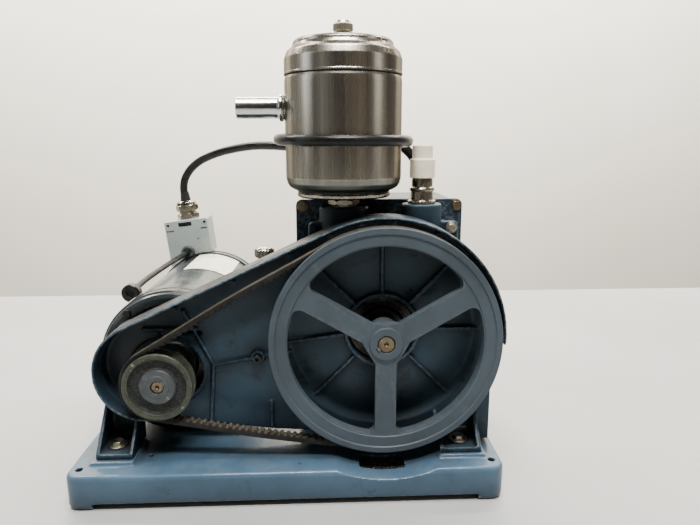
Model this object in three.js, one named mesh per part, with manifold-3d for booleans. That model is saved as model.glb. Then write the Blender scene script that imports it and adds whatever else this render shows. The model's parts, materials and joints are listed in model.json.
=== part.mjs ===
// Belt-driven two-stage rotary vane vacuum pump with its motor, exhaust filter and mains cord.
// Millimetres. X right, Y back, Z up. X = 0 is the flywheel's axis, Y = 0 its front face and
// Z = 0 the underside of the base's feet; the finished group is then centred over its own box.
import * as THREE from 'three';
import { mergeVertices } from 'three/addons/utils/BufferGeometryUtils.js';
import Module from 'manifold-3d';

const wasm = await Module();
wasm.setup();

// ---------------------------------------------------------------- driving dimensions
const GAP = 0.3; // clearance between neighbouring pieces

const BASE = { left: -346, right: 129.6, front: -25, back: 290, top: 39.2 };
const BASE_WALL = 8;
const BASE_CORNER = 15;
const FOOT = 28; // side of each corner foot
const SKIRT = 7; // height of the skirt's lower edge
const PAD_TOP = BASE.top + 4; // raised pads under the guard's feet
const SCOOP_RADIUS = 144; // flywheel clearance in the base

const SHAFT_Z = 172.3; // height of the pump shaft
const SHAFT_RADIUS = 9.4;
const WHEEL_RADIUS = 127;
const WHEEL_WIDTH = 21;
const RIM_INNER = 107;
const HUB_RADIUS = 19;
const SPOKE_WIDTH = 23;
const SPOKE_ANGLES = [30, 150, 270];
const KEY_ANGLE = 214;

const BELT_Y = 10.5; // centre plane of the belt
const BELT_TOP = 6.2; // half width of the belt's back
const BELT_FOOT = 4.3; // half width of its inner face
const BELT_HEIGHT = 8;
const GROOVE_DEPTH = 13;
const GROOVE_TOP = 6.7;
const GROOVE_FOOT = 3.7;

const MOTOR_X = -247.2;
const MOTOR_Z = 128;
const PULLEY_RADIUS = 37.9;
const MOTOR_SHAFT_RADIUS = 6.8;
const BELL_RADIUS = 88.3;
const SHELL_RADIUS = 86;
const SADDLE_RADIUS = SHELL_RADIUS + 0.9; // clears the shell between its facets
const BOX_TILT = 6.4; // lean of the switch box, degrees to the left
const BOX_X = -265.3; // origin of the switch box's own frame
const BOX_Z = 102.6;

const GUARD_FRONT = 15; // front edge of the guard's flange
const PLATE_FRONT = 50;
const PLATE_BACK = 56;
const FLANGE = 4; // thickness of the guard's flange
const ARC_BIG = { x: 0, z: SHAFT_Z, r: 136 };
const ARC_SMALL = { x: -265.8, z: 137.5, r: 56 };
const GUARD_SIDE = 124.5; // right side of the guard's right leg

const CASE_HALF = 99; // half width of the case's front plate
const CASE_TOP = 320;
const CASE_FRONT = 95.3;
const CASE_BACK = 210;

const INTAKE = { x: 47, y: 76 };
const FILTER = { x: -43, y: 76, r: 65 };

const ROTOR_RADIUS = 28;
const STATOR_BORE = 32;
const VANE_THICK = 3.6;
const SLOT_FLOOR = SHAFT_RADIUS + 2.5; // radius at which the rotor's slots end

const CORD_RADIUS = 6;
const COIL = { x: 0, y: 400, inner: 49, outer: 86.3, height: 12.4 };

// ---------------------------------------------------------------- materials
const look = (color, roughness, metalness) => new THREE.MeshStandardMaterial({ color, roughness, metalness });
const PAINT = look(0x5f7487, 0.45, 0.2);
const WHEEL_PAINT = look(0x5f666e, 0.5, 0.2);
const CASE_PAINT = look(0x2f3f52, 0.45, 0.2);
const MOTOR_PAINT = look(0x4a545c, 0.4, 0.3);
const ZINC = look(0x9a958c, 0.3, 0.9);
const NICKEL = look(0xa39c8e, 0.3, 0.9);
const BRASS = look(0x9c7c4a, 0.4, 0.9);
const STEEL = look(0x8d8f92, 0.35, 0.9);
const IRON = look(0x55585b, 0.6, 0.7);
const RUBBER = look(0x1b1c1e, 0.6, 0);
const CREAM = look(0xe9dfce, 0.45, 0);
const BOX_GREY = look(0xa9b0b5, 0.5, 0);
const GLASS = look(0xb8c4c0, 0.1, 0);
const FELT = look(0xd9d2bf, 0.9, 0);
const LAMINATE = look(0x5c3a20, 0.55, 0);
const FAN_PLASTIC = look(0x2b2d30, 0.5, 0);

// ---------------------------------------------------------------- solids
/** The geometry as one closed mesh: corners shared, no zero-area faces, faces pointing out. */
function weld(geometry) {
  const bare = new THREE.BufferGeometry();
  bare.setAttribute('position', geometry.getAttribute('position'));
  bare.setIndex(geometry.index);
  const merged = mergeVertices(bare, 1e-4);
  const at = merged.getAttribute('position');
  const faces = [];
  let volume = 0;
  const [p, q, r] = [new THREE.Vector3(), new THREE.Vector3(), new THREE.Vector3()];
  for (let i = 0; i < merged.index.count; i += 3) {
    const [a, b, c] = [0, 1, 2].map((k) => merged.index.getX(i + k));
    if (a === b || b === c || c === a) continue;
    faces.push([a, b, c]);
    p.fromBufferAttribute(at, a);
    q.fromBufferAttribute(at, b);
    r.fromBufferAttribute(at, c);
    volume += p.dot(q.cross(r));
  }
  merged.setIndex(faces.flatMap(([a, b, c]) => (volume < 0 ? [a, c, b] : [a, b, c])));
  return merged;
}

function toSolid(geometry) {
  const welded = weld(geometry);
  return new wasm.Manifold(new wasm.Mesh({
    numProp: 3,
    vertProperties: new Float32Array(welded.getAttribute('position').array),
    triVerts: new Uint32Array(welded.index.array),
  }));
}

function toGeometry(solid) {
  const mesh = solid.getMesh();
  const geometry = new THREE.BufferGeometry();
  geometry.setAttribute('position', new THREE.BufferAttribute(new Float32Array(mesh.vertProperties), 3));
  geometry.setIndex(Array.from(mesh.triVerts));
  return geometry;
}

const join = (...parts) => toGeometry(parts.map(toSolid).reduce((whole, part) => whole.add(part)));

function cut(part, ...tools) {
  return toGeometry(tools.map(toSolid).reduce((whole, tool) => whole.subtract(tool), toSolid(part)));
}

// ---------------------------------------------------------------- outlines and simple shapes
const radians = (degrees) => (degrees * Math.PI) / 180;
const onCircle = (x, y, r, degrees) => [x + r * Math.cos(radians(degrees)), y + r * Math.sin(radians(degrees))];

function arc(x, y, r, from, to, steps) {
  return Array.from({ length: steps + 1 }, (_, i) => onCircle(x, y, r, from + ((to - from) * i) / steps));
}

const outline = (points) => new THREE.Shape(points.map(([x, y]) => new THREE.Vector2(x, y)));

function roundRect(x0, x1, y0, y1, r, steps = 3) {
  return outline([
    ...arc(x1 - r, y0 + r, r, -90, 0, steps), ...arc(x1 - r, y1 - r, r, 0, 90, steps),
    ...arc(x0 + r, y1 - r, r, 90, 180, steps), ...arc(x0 + r, y0 + r, r, 180, 270, steps),
  ]);
}

/** Extrusion between two planes; the outline's own axes are X-Z for Y, X-Y for Z and Y-Z for X. */
function extrude(axis, shape, from, to) {
  const geometry = new THREE.ExtrudeGeometry(shape, { depth: to - from, bevelEnabled: false });
  if (axis === 'Z') return geometry.translate(0, 0, from);
  if (axis === 'Y') return geometry.rotateX(Math.PI / 2).translate(0, to, 0);
  const turn = new THREE.Matrix4().makeBasis(
    new THREE.Vector3(0, 1, 0), new THREE.Vector3(0, 0, 1), new THREE.Vector3(1, 0, 0),
  );
  return geometry.applyMatrix4(turn).translate(from, 0, 0);
}

function block(x0, x1, y0, y1, z0, z1) {
  return new THREE.BoxGeometry(x1 - x0, y1 - y0, z1 - z0)
    .translate((x0 + x1) / 2, (y0 + y1) / 2, (z0 + z1) / 2);
}

/** Turned piece: profile of [radius, height] points along an axis; closes itself off the axis. */
function turned(axis, profile, sides = 16) {
  const open = profile[0][0] > 0 || profile.at(-1)[0] > 0;
  const loop = open ? [...profile, profile[0]] : profile;
  const geometry = new THREE.LatheGeometry(loop.map(([r, h]) => new THREE.Vector2(r, h)), sides);
  if (axis === 'Z') return geometry.rotateX(Math.PI / 2);
  if (axis === 'X') return geometry.rotateZ(-Math.PI / 2);
  return geometry;
}

/** Disc or ring between two heights along an axis. */
function ring(axis, inner, outer, from, to, sides = 16) {
  return turned(axis, [[inner, from], [outer, from], [outer, to], [inner, to]], sides);
}

const hexagon = (axis, radius, from, to) => ring(axis, 0, radius, from, to, 6);

/** Headed screw along Y with its head in front of `face`. */
function screwY(head, headLength, shank, shankLength, sides = 12) {
  return turned('Y', [[0, -headLength], [head, -headLength], [head, 0], [shank, 0],
    [shank, shankLength], [0, shankLength]], sides);
}

/** Headed bolt along Z, head on top of `z = 0`. */
function boltZ(head, headLength, shank, shankLength) {
  return join(hexagon('Z', head, 0, headLength), ring('Z', 0, shank, -shankLength, 0.5, 10));
}

// ---------------------------------------------------------------- assembly helpers
const pump = new THREE.Group();

function piece(name, geometry, material, parent = pump, [x, y, z] = [0, 0, 0]) {
  const mesh = new THREE.Mesh(weld(geometry), material.clone());
  mesh.name = name;
  mesh.position.set(x, y, z);
  parent.add(mesh);
  return mesh;
}

function group(x, y, z) {
  const made = new THREE.Group();
  made.position.set(x, y, z);
  pump.add(made);
  return made;
}

// ---------------------------------------------------------------- base
function baseCasting() {
  const { left, right, front, back, top } = BASE;
  const whole = extrude('Z', roundRect(left, right, front, back, BASE_CORNER), 0, top);
  const inset = roundRect(left + BASE_WALL, right - BASE_WALL, front + BASE_WALL, back - BASE_WALL, 7);
  const hollow = extrude('Z', inset, -1, top - BASE_WALL);
  const underSkirt = block(left - 1, right + 1, front - 1, back + 1, -1, SKIRT);
  const feet = [];
  for (const x of [left, right - FOOT]) {
    for (const y of [front, back - FOOT]) feet.push(block(x, x + FOOT, y, y + FOOT, -2, top - BASE_WALL - 1));
  }
  const underScoop = block(-75, 75, front + 2, 60, 18, top);
  const shell = join(cut(whole, cut(join(hollow, underSkirt), ...feet)), underScoop,
    block(-325, -278, -4, 52, top - 1, PAD_TOP), block(60, 112, -2, 52, top - 1, PAD_TOP));
  const scoop = ring('Y', 0, SCOOP_RADIUS, front - 1, 58, 48).translate(0, 0, SHAFT_Z);
  const slot = block(-29, 22, -3, 24, 10, 45);
  const drill = (x, y, r) => ring('Z', 0, r, -1, 50, 8).translate(x, y, 0);
  return cut(shell, scoop, slot,
    drill(left + 12, front + 17, 3.6), drill(right - 12, front + 17, 3.6),
    drill(left + 12, back - 17, 3.6), drill(right - 12, back - 17, 3.6),
    drill(-264, 18.5, 2.5), drill(-302, 24, 4.4), drill(86, 20, 4.4));
}
piece('base', baseCasting(), PAINT);

// ---------------------------------------------------------------- belt guard
/** Angle of the outline's straight run, normal to both arcs' common tangent. */
function tangentAngle() {
  const [dx, dz] = [ARC_SMALL.x - ARC_BIG.x, ARC_SMALL.z - ARC_BIG.z];
  const between = Math.acos((ARC_BIG.r - ARC_SMALL.r) / Math.hypot(dx, dz));
  return THREE.MathUtils.radToDeg(Math.atan2(dz, dx) - between) + 360;
}

function guardEdge(inset, start) {
  const turn = tangentAngle();
  return [...arc(ARC_BIG.x, ARC_BIG.z, ARC_BIG.r - inset, start, turn, 20),
    ...arc(ARC_SMALL.x, ARC_SMALL.z, ARC_SMALL.r - inset, turn, 281, 12)];
}

function guardCasting() {
  const foot = PAD_TOP + GAP;
  const rightStart = -THREE.MathUtils.radToDeg(Math.acos(GUARD_SIDE / ARC_BIG.r));
  const plate = extrude('Y', outline([...guardEdge(0, rightStart), [-255, 74], [-201, 62], [-130, 52],
    [-20, 45], [60, 45], [60, foot], [GUARD_SIDE, foot]]), PLATE_FRONT, PLATE_BACK);
  const flange = extrude('Y', outline([...guardEdge(0, -3.5), ...guardEdge(FLANGE, -3.5).reverse()]),
    GUARD_FRONT, PLATE_BACK);
  const dish = turned('Y', [[40, 50], [44, 50], [44, 58], [88, 58], [99, 50], [103, 50], [103, 56],
    [101, 56], [91, 64], [40, 64]], 24).translate(0, 0, SHAFT_Z);
  const opening = ring('Y', 0, 101, 40, 70, 24).translate(0, 0, SHAFT_Z);
  const motorHole = extrude('Y', roundRect(MOTOR_X - 40, MOTOR_X + 40, MOTOR_Z - 36, MOTOR_Z + 36, 35, 4),
    40, 70);
  const rib = (x0, z0, x1, z1, front) => {
    const length = Math.hypot(x1 - x0, z1 - z0);
    return new THREE.BoxGeometry(length, PLATE_FRONT + 1 - front, 4)
      .translate(length / 2, (PLATE_FRONT + 1 + front) / 2, 0)
      .rotateY(-Math.atan2(z1 - z0, x1 - x0)).translate(x0, 0, z0);
  };
  const spokes = [0, 45, 90, 135, 187, 225, 270, 315].map((angle) => (
    new THREE.BoxGeometry(58, 7, 4).translate(71, 56.5, 0).rotateY(-radians(angle)).translate(0, 0, SHAFT_Z)));
  const ribs = [rib(-195, 135, -144, 143.6, 46.5), rib(-195, 135, -227, 201, 46.5),
    rib(-195, 135, -201, 63, 46.5), rib(-130, 54, -130, 88, 46.5)];
  const boss = ring('Y', 0, 8, 44, PLATE_FRONT + 1, 12).translate(-144, 0, 143.6);
  const cheek = (x0, x1, y0, high) => extrude('X',
    outline([[y0, foot], [PLATE_FRONT + 1, foot], [PLATE_FRONT + 1, high], [y0, foot + 5.5]]), x0, x1);
  const legs = [block(-320, -280, PLATE_FRONT, PLATE_BACK, foot, 115), block(-320, -280, 3, 51, foot, 49),
    cheek(-320, -316, 3, 104), cheek(-284, -280, 3, 96),
    block(62, GUARD_SIDE - 1, 1, 51, foot, 49), cheek(62, 66, 1, 72), cheek(104, 109, 1, 96),
    block(109, GUARD_SIDE, 31, PLATE_BACK, foot, 108)];
  const drilled = (x, y) => ring('Z', 0, 4.4, 30, 60, 8).translate(x, y, 0);
  const screwHole = ring('Y', 0, 2.9, 40, 60, 8).translate(-144, 0, 143.6);
  const sheet = cut(join(plate, flange), opening, motorHole);
  return cut(join(sheet, dish, ...spokes, ...ribs, boss, ...legs), drilled(-302, 24), drilled(86, 20),
    screwHole, block(109, 130, 0, 31, 30, 60));
}
piece('guard_casting', guardCasting(), PAINT);
piece('guard_bolt_left', boltZ(6.6, 6.5, 4, 14), ZINC, pump, [-302, 24, 49.6]);
piece('guard_bolt_right', boltZ(6.6, 6.5, 4, 14), ZINC, pump, [86, 20, 49.6]);
piece('guard_screw', cut(screwY(5.4, 5.5, 2.5, 11), hexagon('Y', 2.6, -6, -2.5)), ZINC, pump,
  [-144, 44 - GAP, 143.6]);

// ---------------------------------------------------------------- pump shaft, flywheel and seal
const drive = group(0, 0, SHAFT_Z);

function grooveProfile(outer, width) {
  const foot = outer - GROOVE_DEPTH;
  return [[outer, 0], [outer, BELT_Y - GROOVE_TOP], [foot, BELT_Y - GROOVE_FOOT],
    [foot, BELT_Y + GROOVE_FOOT], [outer, BELT_Y + GROOVE_TOP], [outer, width]];
}

function keyCut(radius, length, size) {
  return block(radius - 2.4, radius + 2.4, 0, length, -size / 2, size / 2).rotateY(-radians(KEY_ANGLE));
}

function flywheel() {
  const rim = turned('Y', [...grooveProfile(WHEEL_RADIUS, WHEEL_WIDTH), [RIM_INNER, WHEEL_WIDTH - 2],
    [RIM_INNER, 1.5], [WHEEL_RADIUS - 7, 1.5], [WHEEL_RADIUS - 7, 0]], 36);
  const spokes = SPOKE_ANGLES.map((angle) => (
    new THREE.BoxGeometry(RIM_INNER - 6, 12, SPOKE_WIDTH).translate(RIM_INNER / 2 + 5, 8.5, 0)
      .rotateY(-radians(angle))));
  const hub = ring('Y', 0, HUB_RADIUS, 0, 42, 20);
  return cut(join(rim, ...spokes, hub), ring('Y', 0, SHAFT_RADIUS + GAP, -1, 43),
    keyCut(SHAFT_RADIUS + 0.8, 32, 5.2).translate(0, -1, 0));
}
piece('flywheel', flywheel(), WHEEL_PAINT, drive);

function pumpShaft() {
  const bar = turned('Y', [[0, 2], [1.6, 1.2], [1.6, 1], [SHAFT_RADIUS - 0.8, 1], [SHAFT_RADIUS, 1.8],
    [SHAFT_RADIUS, 178], [0, 178]]);
  return cut(bar, keyCut(SHAFT_RADIUS, 32, 5.2));
}
piece('pump_shaft', pumpShaft(), STEEL, drive);
const flywheelKey = block(SHAFT_RADIUS - 2, SHAFT_RADIUS + 2.4, 1.4, 30, -2.3, 2.3);
piece('flywheel_key', flywheelKey.rotateY(-radians(KEY_ANGLE)), BRASS, drive);

const sealHousing = turned('Y', [[13.1, 56], [19, 56], [19, 52], [26, 52], [26, 57], [38.5, 59],
  [38.5, 64], [13.1, 64]], 20);
piece('shaft_seal_housing', sealHousing, IRON, drive);
piece('shaft_seal', ring('Y', SHAFT_RADIUS + GAP, 12.8, 50, 63.5), RUBBER, drive);

// ---------------------------------------------------------------- pump body and oil case
function pumpBody() {
  const front = extrude('Y', roundRect(-84, 88, 62, 297.5, 6), 64.4, 74);
  const middle = extrude('Y', roundRect(-76, 80, 62, 297, 6), 73, CASE_FRONT - GAP);
  const intakeBoss = extrude('Z', roundRect(INTAKE.x - 23, INTAKE.x + 23, 58, 95, 17), 240, 317);
  const exhaustBoss = extrude('Z', roundRect(FILTER.x - 28.5, FILTER.x + 28.5, 58, 95, 17), 240, 314);
  const behindGuard = block(-90, 90, 50, 64.4, 200, 297.5);
  const intakeWay = ring('Z', 0, 7, 250, 320, 12).translate(INTAKE.x, INTAKE.y, 0);
  const exhaustWay = ring('Z', 0, 8, 250, 320, 12).translate(FILTER.x, FILTER.y, 0);
  const crossWays = [INTAKE.x, FILTER.x].map((x) => ring('Y', 0, 6, 75, 100, 12).translate(x, 0, 256));
  return cut(join(front, middle, cut(join(intakeBoss, exhaustBoss), behindGuard)),
    intakeWay, exhaustWay, ...crossWays,
    ring('Y', 0, 12, 60, 100).translate(0, 0, SHAFT_Z));
}
piece('pump_body', pumpBody(), PAINT);

const CASE_SCREW_X = CASE_HALF - 7.5;
const CASE_SCREW_Z = CASE_TOP - 7.5;

function caseFrontPlate() {
  const plate = extrude('Y', roundRect(-CASE_HALF, CASE_HALF, BASE.top + GAP, CASE_TOP, 7),
    CASE_FRONT, CASE_FRONT + 9.7);
  const through = (x, z, r) => ring('Y', 0, r, 90, 110, 10).translate(x, 0, z);
  return cut(plate, through(0, SHAFT_Z, 12), through(INTAKE.x, 256, 6), through(FILTER.x, 256, 6),
    through(-CASE_SCREW_X, CASE_SCREW_Z, 2.9), through(CASE_SCREW_X, CASE_SCREW_Z, 2.9));
}
piece('case_front_plate', caseFrontPlate(), CASE_PAINT);

function caseGasket() {
  const outer = extrude('Y', roundRect(-97, 97, 41, 318, 9), 105.3, 106.7);
  return cut(outer, extrude('Y', roundRect(-84, 84, 54, 305, 6), 100, 110));
}
piece('case_gasket', caseGasket(), RUBBER);

function oilCase() {
  const shell = extrude('Y', roundRect(-97.5, 97.5, BASE.top + GAP, 318.5, 12), 107, CASE_BACK);
  const inside = extrude('Y', roundRect(-90.5, 90.5, 47, 311.5, 8), 100, CASE_BACK - 7);
  const sightHole = ring('X', 0, 11, 85, 105, 20).translate(0, 165, 150);
  const drainHole = ring('X', 0, 4, 85, 105, 12).translate(0, 178, 60);
  const ballastHole = ring('X', 0, 5, -105, -85, 12).translate(0, 135, 232);
  return cut(shell, inside, sightHole, drainHole, ballastHole);
}
piece('oil_case', oilCase(), CASE_PAINT);
const caseScrew = screwY(4.8, 3.6, 2.5, 9);
piece('case_screw_1', caseScrew, BRASS, pump, [-CASE_SCREW_X, CASE_FRONT - GAP, CASE_SCREW_Z]);
piece('case_screw_2', caseScrew, BRASS, pump, [CASE_SCREW_X, CASE_FRONT - GAP, CASE_SCREW_Z]);

const sightGlass = turned('X', [[0, 98.5], [11, 98.5], [11, 97.8], [17, 97.8], [17, 102], [13, 104.5],
  [11, 104.5], [11, 101.5], [0, 101.5]]);
piece('sight_glass', sightGlass, GLASS, pump, [0, 165, 150]);

function drainValve() {
  const barrel = turned('X', [[0, 97.8], [9, 97.8], [9, 104], [6.5, 105], [6.5, 118], [8, 119],
    [8, 126], [4, 126], [4, 112], [0, 112]], 14);
  return join(barrel, ring('Z', 0, 4.5, 2, 10, 16).translate(111, 0, 0));
}
piece('drain_valve', drainValve(), BRASS, pump, [0, 178, 60]);
const drainHandle = join(ring('Z', 0, 4, 0, 6, 16), block(-3.5, 3.5, -4, 26, 2, 6));
piece('drain_handle', drainHandle, ZINC, pump, [111, 178, 70.4]);

function ballastElbow() {
  const across = ring('X', 0, 7, -142, -97.8, 12).translate(0, 135, 232);
  const rise = ring('Z', 0, 7, 232, 244, 12).translate(-142, 135, 0);
  const bend = new THREE.SphereGeometry(8.5, 12, 6).translate(-142, 135, 232);
  const nut = hexagon('X', 10, -106, -97.8).translate(0, 135, 232);
  return join(across, rise, bend, nut);
}
piece('gas_ballast_elbow', ballastElbow(), ZINC);
const ballastKnob = turned('Z', [[0, 0], [11, 0], [12.35, 1], [12.35, 12.5], [11.2, 14], [0, 14]]);
piece('gas_ballast_knob', ballastKnob, NICKEL, pump, [-142, 135, 244 + GAP]);

// ---------------------------------------------------------------- pumping stages inside the case
const bore = (offset, r, from, to) => ring('Y', 0, r, from, to, 24).translate(0, 0, offset);
const STAGES = [{ name: 'front', from: 105.8, to: 136 }, { name: 'rear', from: 146.6, to: 166 }];
const BORE_DROP = ROTOR_RADIUS - STATOR_BORE + 0.35; // the rotor all but touches the bore's top

for (const { name, from, to } of STAGES) {
  const ringBody = extrude('Y', roundRect(-48, 48, -48, 44, 12), from, to);
  const port = (x) => ring('Z', 0, 4, 20, 50, 12).translate(x, (from + to) / 2, 0);
  piece(`${name}_stator`, cut(ringBody, bore(BORE_DROP, STATOR_BORE, from - 1, to + 1), port(14), port(-14)),
    IRON, drive);
  const rotor = bore(0, ROTOR_RADIUS, from + GAP, to - GAP);
  const halfSlot = VANE_THICK / 2 + 0.25;
  const slots = cut(block(-30, 30, from - 1, to + 1, -halfSlot, halfSlot),
    bore(0, SLOT_FLOOR, from - 2, to + 2));
  const shaftHole = ring('Y', 0, SHAFT_RADIUS + GAP, from - 2, to + 2);
  piece(`${name}_rotor`, cut(rotor, slots, shaftHole), STEEL, drive);
  [0, 180].forEach((angle, i) => {
    const vane = block(SLOT_FLOOR + 0.5, ROTOR_RADIUS - 0.6, from + 0.6, to - 0.6,
      -VANE_THICK / 2, VANE_THICK / 2);
    piece(`${name}_vane_${i + 1}`, vane.rotateY(radians(angle)), LAMINATE, drive);
  });
}

function stagePlate(from, to) {
  return cut(extrude('Y', roundRect(-48, 48, -48, 44, 12), from, to), bore(0, SHAFT_RADIUS + GAP, from - 1, to + 1));
}
piece('centre_plate', stagePlate(136.4, 146.2), IRON, drive);
piece('end_plate', stagePlate(166.4, 182), IRON, drive);

// ---------------------------------------------------------------- intake port and its cap
const intake = group(INTAKE.x, INTAKE.y, 0);
const intakeNipple = turned('Z', [[8, 317.3], [16, 317.3], [16, 320.6], [13.25, 321], [13.25, 335.8],
  [11, 336.5], [11, 358], [8, 358]]);
piece('intake_nipple', intakeNipple, NICKEL, intake);
const intakeCap = turned('Z', [[11.4, 346], [14.4, 346], [14.4, 367.5], [11.5, 367.5], [11.5, 382],
  [10.5, 383], [0, 383], [0, 366], [11.4, 366]]);
piece('intake_cap', intakeCap, CREAM, intake);

// ---------------------------------------------------------------- exhaust filter
const filter = group(FILTER.x, FILTER.y, 0);
const exhaustNipple = join(turned('Z', [[8, 314.3], [13, 314.3], [13, 318], [12, 318], [12, 330],
  [8, 330]]), cut(hexagon('Z', 18, 315.5, 323), ring('Z', 0, 8, 310, 330)));
piece('exhaust_nipple', exhaustNipple, ZINC, filter);

function filterBody() {
  const wall = turned('Z', [[12.4, 325.6], [52, 325.6], [53, 328.5], [52, 332], [60, 338], [64, 345],
    [FILTER.r, 353], [FILTER.r, 456.5], [FILTER.r - 2, 456.5], [FILTER.r - 2, 354], [62, 346],
    [58, 340], [48, 328.4], [12.4, 328.4]], 26);
  return cut(wall, ring('X', 0, 12.5, -75, -55, 14).translate(0, 0, 423.5));
}
piece('filter_body', filterBody(), STEEL, filter);
const outletTube = join(ring('X', 10.4, 12, -118, -58, 14),
  cut(ring('X', 10.4, 15, -69, -64, 14), ring('Z', 0, FILTER.r + 0.4, -30, 30, 26)));
piece('filter_outlet', outletTube, ZINC, filter, [0, 0, 423.5]);
const filterLid = turned('Z', [[FILTER.r, 457.2], [FILTER.r, 474], [62.5, 482], [55, 488.5],
  [54.5, 492], [52, 494.5], [0, 497.5], [0, 495], [51, 491.5], [52, 487], [60.5, 480.5],
  [FILTER.r - 2, 473], [FILTER.r - 2, 457.2]], 26);
piece('filter_lid', cut(filterLid, ring('Z', 0, 4.2, 480, 500, 12)), STEEL, filter);
piece('filter_rod', ring('Z', 0, 3.6, 334, 512, 12), ZINC, filter);
const knobShape = turned('Z', [[0, 498], [8, 498], [8, 502], [11, 503.5], [11, 513.5], [8, 516.8],
  [0, 518]], 14);
piece('filter_knob', cut(knobShape, ring('Z', 0, 3.9, 495, 512.5, 12)), ZINC, filter);
piece('filter_element', ring('Z', 24, 50, 345, 450), FELT, filter);

// ---------------------------------------------------------------- motor
const motor = group(MOTOR_X, 0, MOTOR_Z);

function bellProfile(mouth, face, inward) {
  const y = (depth) => face + inward * depth;
  return [[16.6, y(-4)], [28, y(-4)], [28, y(4)], [56, y(6)], [60, y(0)], [82, y(0)],
    [BELL_RADIUS, y(4)], [BELL_RADIUS, mouth], [83, mouth], [83, y(10)], [34, y(12)], [30, y(18)],
    [16.6, y(18)]];
}
piece('motor_front_bell', turned('Y', bellProfile(112, 72, 1), 24), MOTOR_PAINT, motor);
piece('motor_rear_bell', turned('Y', bellProfile(318, 346, -1), 24), MOTOR_PAINT, motor);
piece('motor_shell', ring('Y', 83, SHELL_RADIUS, 112.3, 317.7, 24), MOTOR_PAINT, motor);
piece('motor_stator', ring('Y', 50, 82.2, 145, 265, 24), IRON, motor);
piece('motor_rotor', ring('Y', 8.4, 49.2, 147, 263, 24), STEEL, motor);
piece('motor_front_bearing', ring('Y', 8.4, 16.3, 69, 82), STEEL, motor);
piece('motor_rear_bearing', ring('Y', 8.4, 16.3, 336, 349), STEEL, motor);
const motorShaft = turned('Y', [[0, 3], [1.4, 2.4], [1.4, 2], [MOTOR_SHAFT_RADIUS, 2],
  [MOTOR_SHAFT_RADIUS, 60], [8, 60.5], [8, 346], [0, 346]]);
piece('motor_shaft', motorShaft, STEEL, motor);

const FAN_BLADES = 6;

function motorFan() {
  const hub = ring('Y', 8.4, 16, 276, 300);
  const blades = Array.from({ length: FAN_BLADES }, (_, i) => (
    block(14, 62, 279, 297, -1.2, 1.2).rotateY((i * 2 * Math.PI) / FAN_BLADES)));
  return join(hub, ring('Y', 14, 60, 297, 299, 18), ...blades);
}
piece('motor_fan', motorFan(), FAN_PLASTIC, motor);

const pulleyShape = turned('Y', [...grooveProfile(PULLEY_RADIUS, 19.8), [15, 19.8], [15, 36],
  [MOTOR_SHAFT_RADIUS + GAP, 36], [MOTOR_SHAFT_RADIUS + GAP, 0.6], [20, 0.6], [20, 2.4], [31.5, 2.4],
  [31.5, 0]], 22);
piece('motor_pulley', pulleyShape, IRON, motor);

function motorCradle() {
  const foot = extrude('Z', roundRect(-80, 80, 160, 290, 8), BASE.top + GAP, BASE.top + 6);
  const saddle = block(-58, 58, 175, 275, BASE.top + 5, 70);
  const shellSpace = ring('Y', 0, SADDLE_RADIUS, 100, 300, 24).translate(0, 0, MOTOR_Z);
  return cut(join(foot, saddle), shellSpace);
}
piece('motor_cradle', motorCradle(), MOTOR_PAINT, pump, [MOTOR_X, 0, 0]);

// ---------------------------------------------------------------- switch box, gland and motor lead
// The box stands on the motor's rear bell, left of its top, so both halves are cut to the bell.
const box = group(BOX_X, 0, BOX_Z);
box.rotation.y = -radians(BOX_TILT);
const BOX = { half: 33.5, low: 84, top: 165.9, floor: 115, front: 322, back: 366, wall: 3 };
const GLAND_Y = 348.4;

/** Room for the motor's rear bell, in the box's frame. */
function bellRoom() {
  const lean = radians(BOX_TILT);
  const [dx, dz] = [MOTOR_X - BOX_X, MOTOR_Z - BOX_Z];
  return ring('Y', 0, BELL_RADIUS + 0.9, 300, 380, 24).translate(dx * Math.cos(lean) + dz * Math.sin(lean), 0,
    dz * Math.cos(lean) - dx * Math.sin(lean));
}

function switchBox() {
  const whole = extrude('Y', roundRect(-BOX.half, BOX.half, BOX.low, BOX.top, 3, 2), BOX.front + 8, BOX.back);
  const inside = block(-BOX.half + BOX.wall, BOX.half - BOX.wall, BOX.front, BOX.back - BOX.wall,
    BOX.floor, BOX.top - BOX.wall);
  const wireWay = ring('Z', 0, 6, BOX.top - 6, BOX.top + 5, 16).translate(0, GLAND_Y, 0);
  return cut(whole, inside, bellRoom(), wireWay);
}
piece('switch_box', switchBox(), BOX_GREY, box);

function boxCover() {
  const lid = extrude('Y', roundRect(-BOX.half, BOX.half, BOX.low, BOX.top, 3, 2), BOX.front,
    BOX.front + 8 - GAP);
  return cut(lid, bellRoom(), block(-12, 8.8, BOX.front - 1, BOX.front + 4, BOX.top - 10, BOX.top - 3.3));
}
piece('box_cover', boxCover(), BOX_GREY, box);

const glandShape = turned('Z', [[CORD_RADIUS + GAP, 0], [15.3, 0], [15.3, 10], [13.2, 10.5], [13.2, 11.5],
  [17.6, 11.5], [17.6, 22], [15.4, 26.4], [CORD_RADIUS + 2.5, 28.6], [CORD_RADIUS + GAP, 28.6]]);
piece('cord_gland', glandShape, NICKEL, box, [0, GLAND_Y, BOX.top + GAP]);

const BUSHING = { x: -300, y: 96, z: 208 };
const bushingRing = join(ring('Y', 0, 11, 0, 12), ring('Y', 0, 6, 11, 17, 12));
const bellSpace = ring('Y', 0, BELL_RADIUS + GAP, -5, 30, 24)
  .translate(MOTOR_X - BUSHING.x, 0, MOTOR_Z - BUSHING.z);
piece('lead_bushing', cut(bushingRing, bellSpace), IRON, pump, [BUSHING.x, BUSHING.y, BUSHING.z]);

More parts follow.
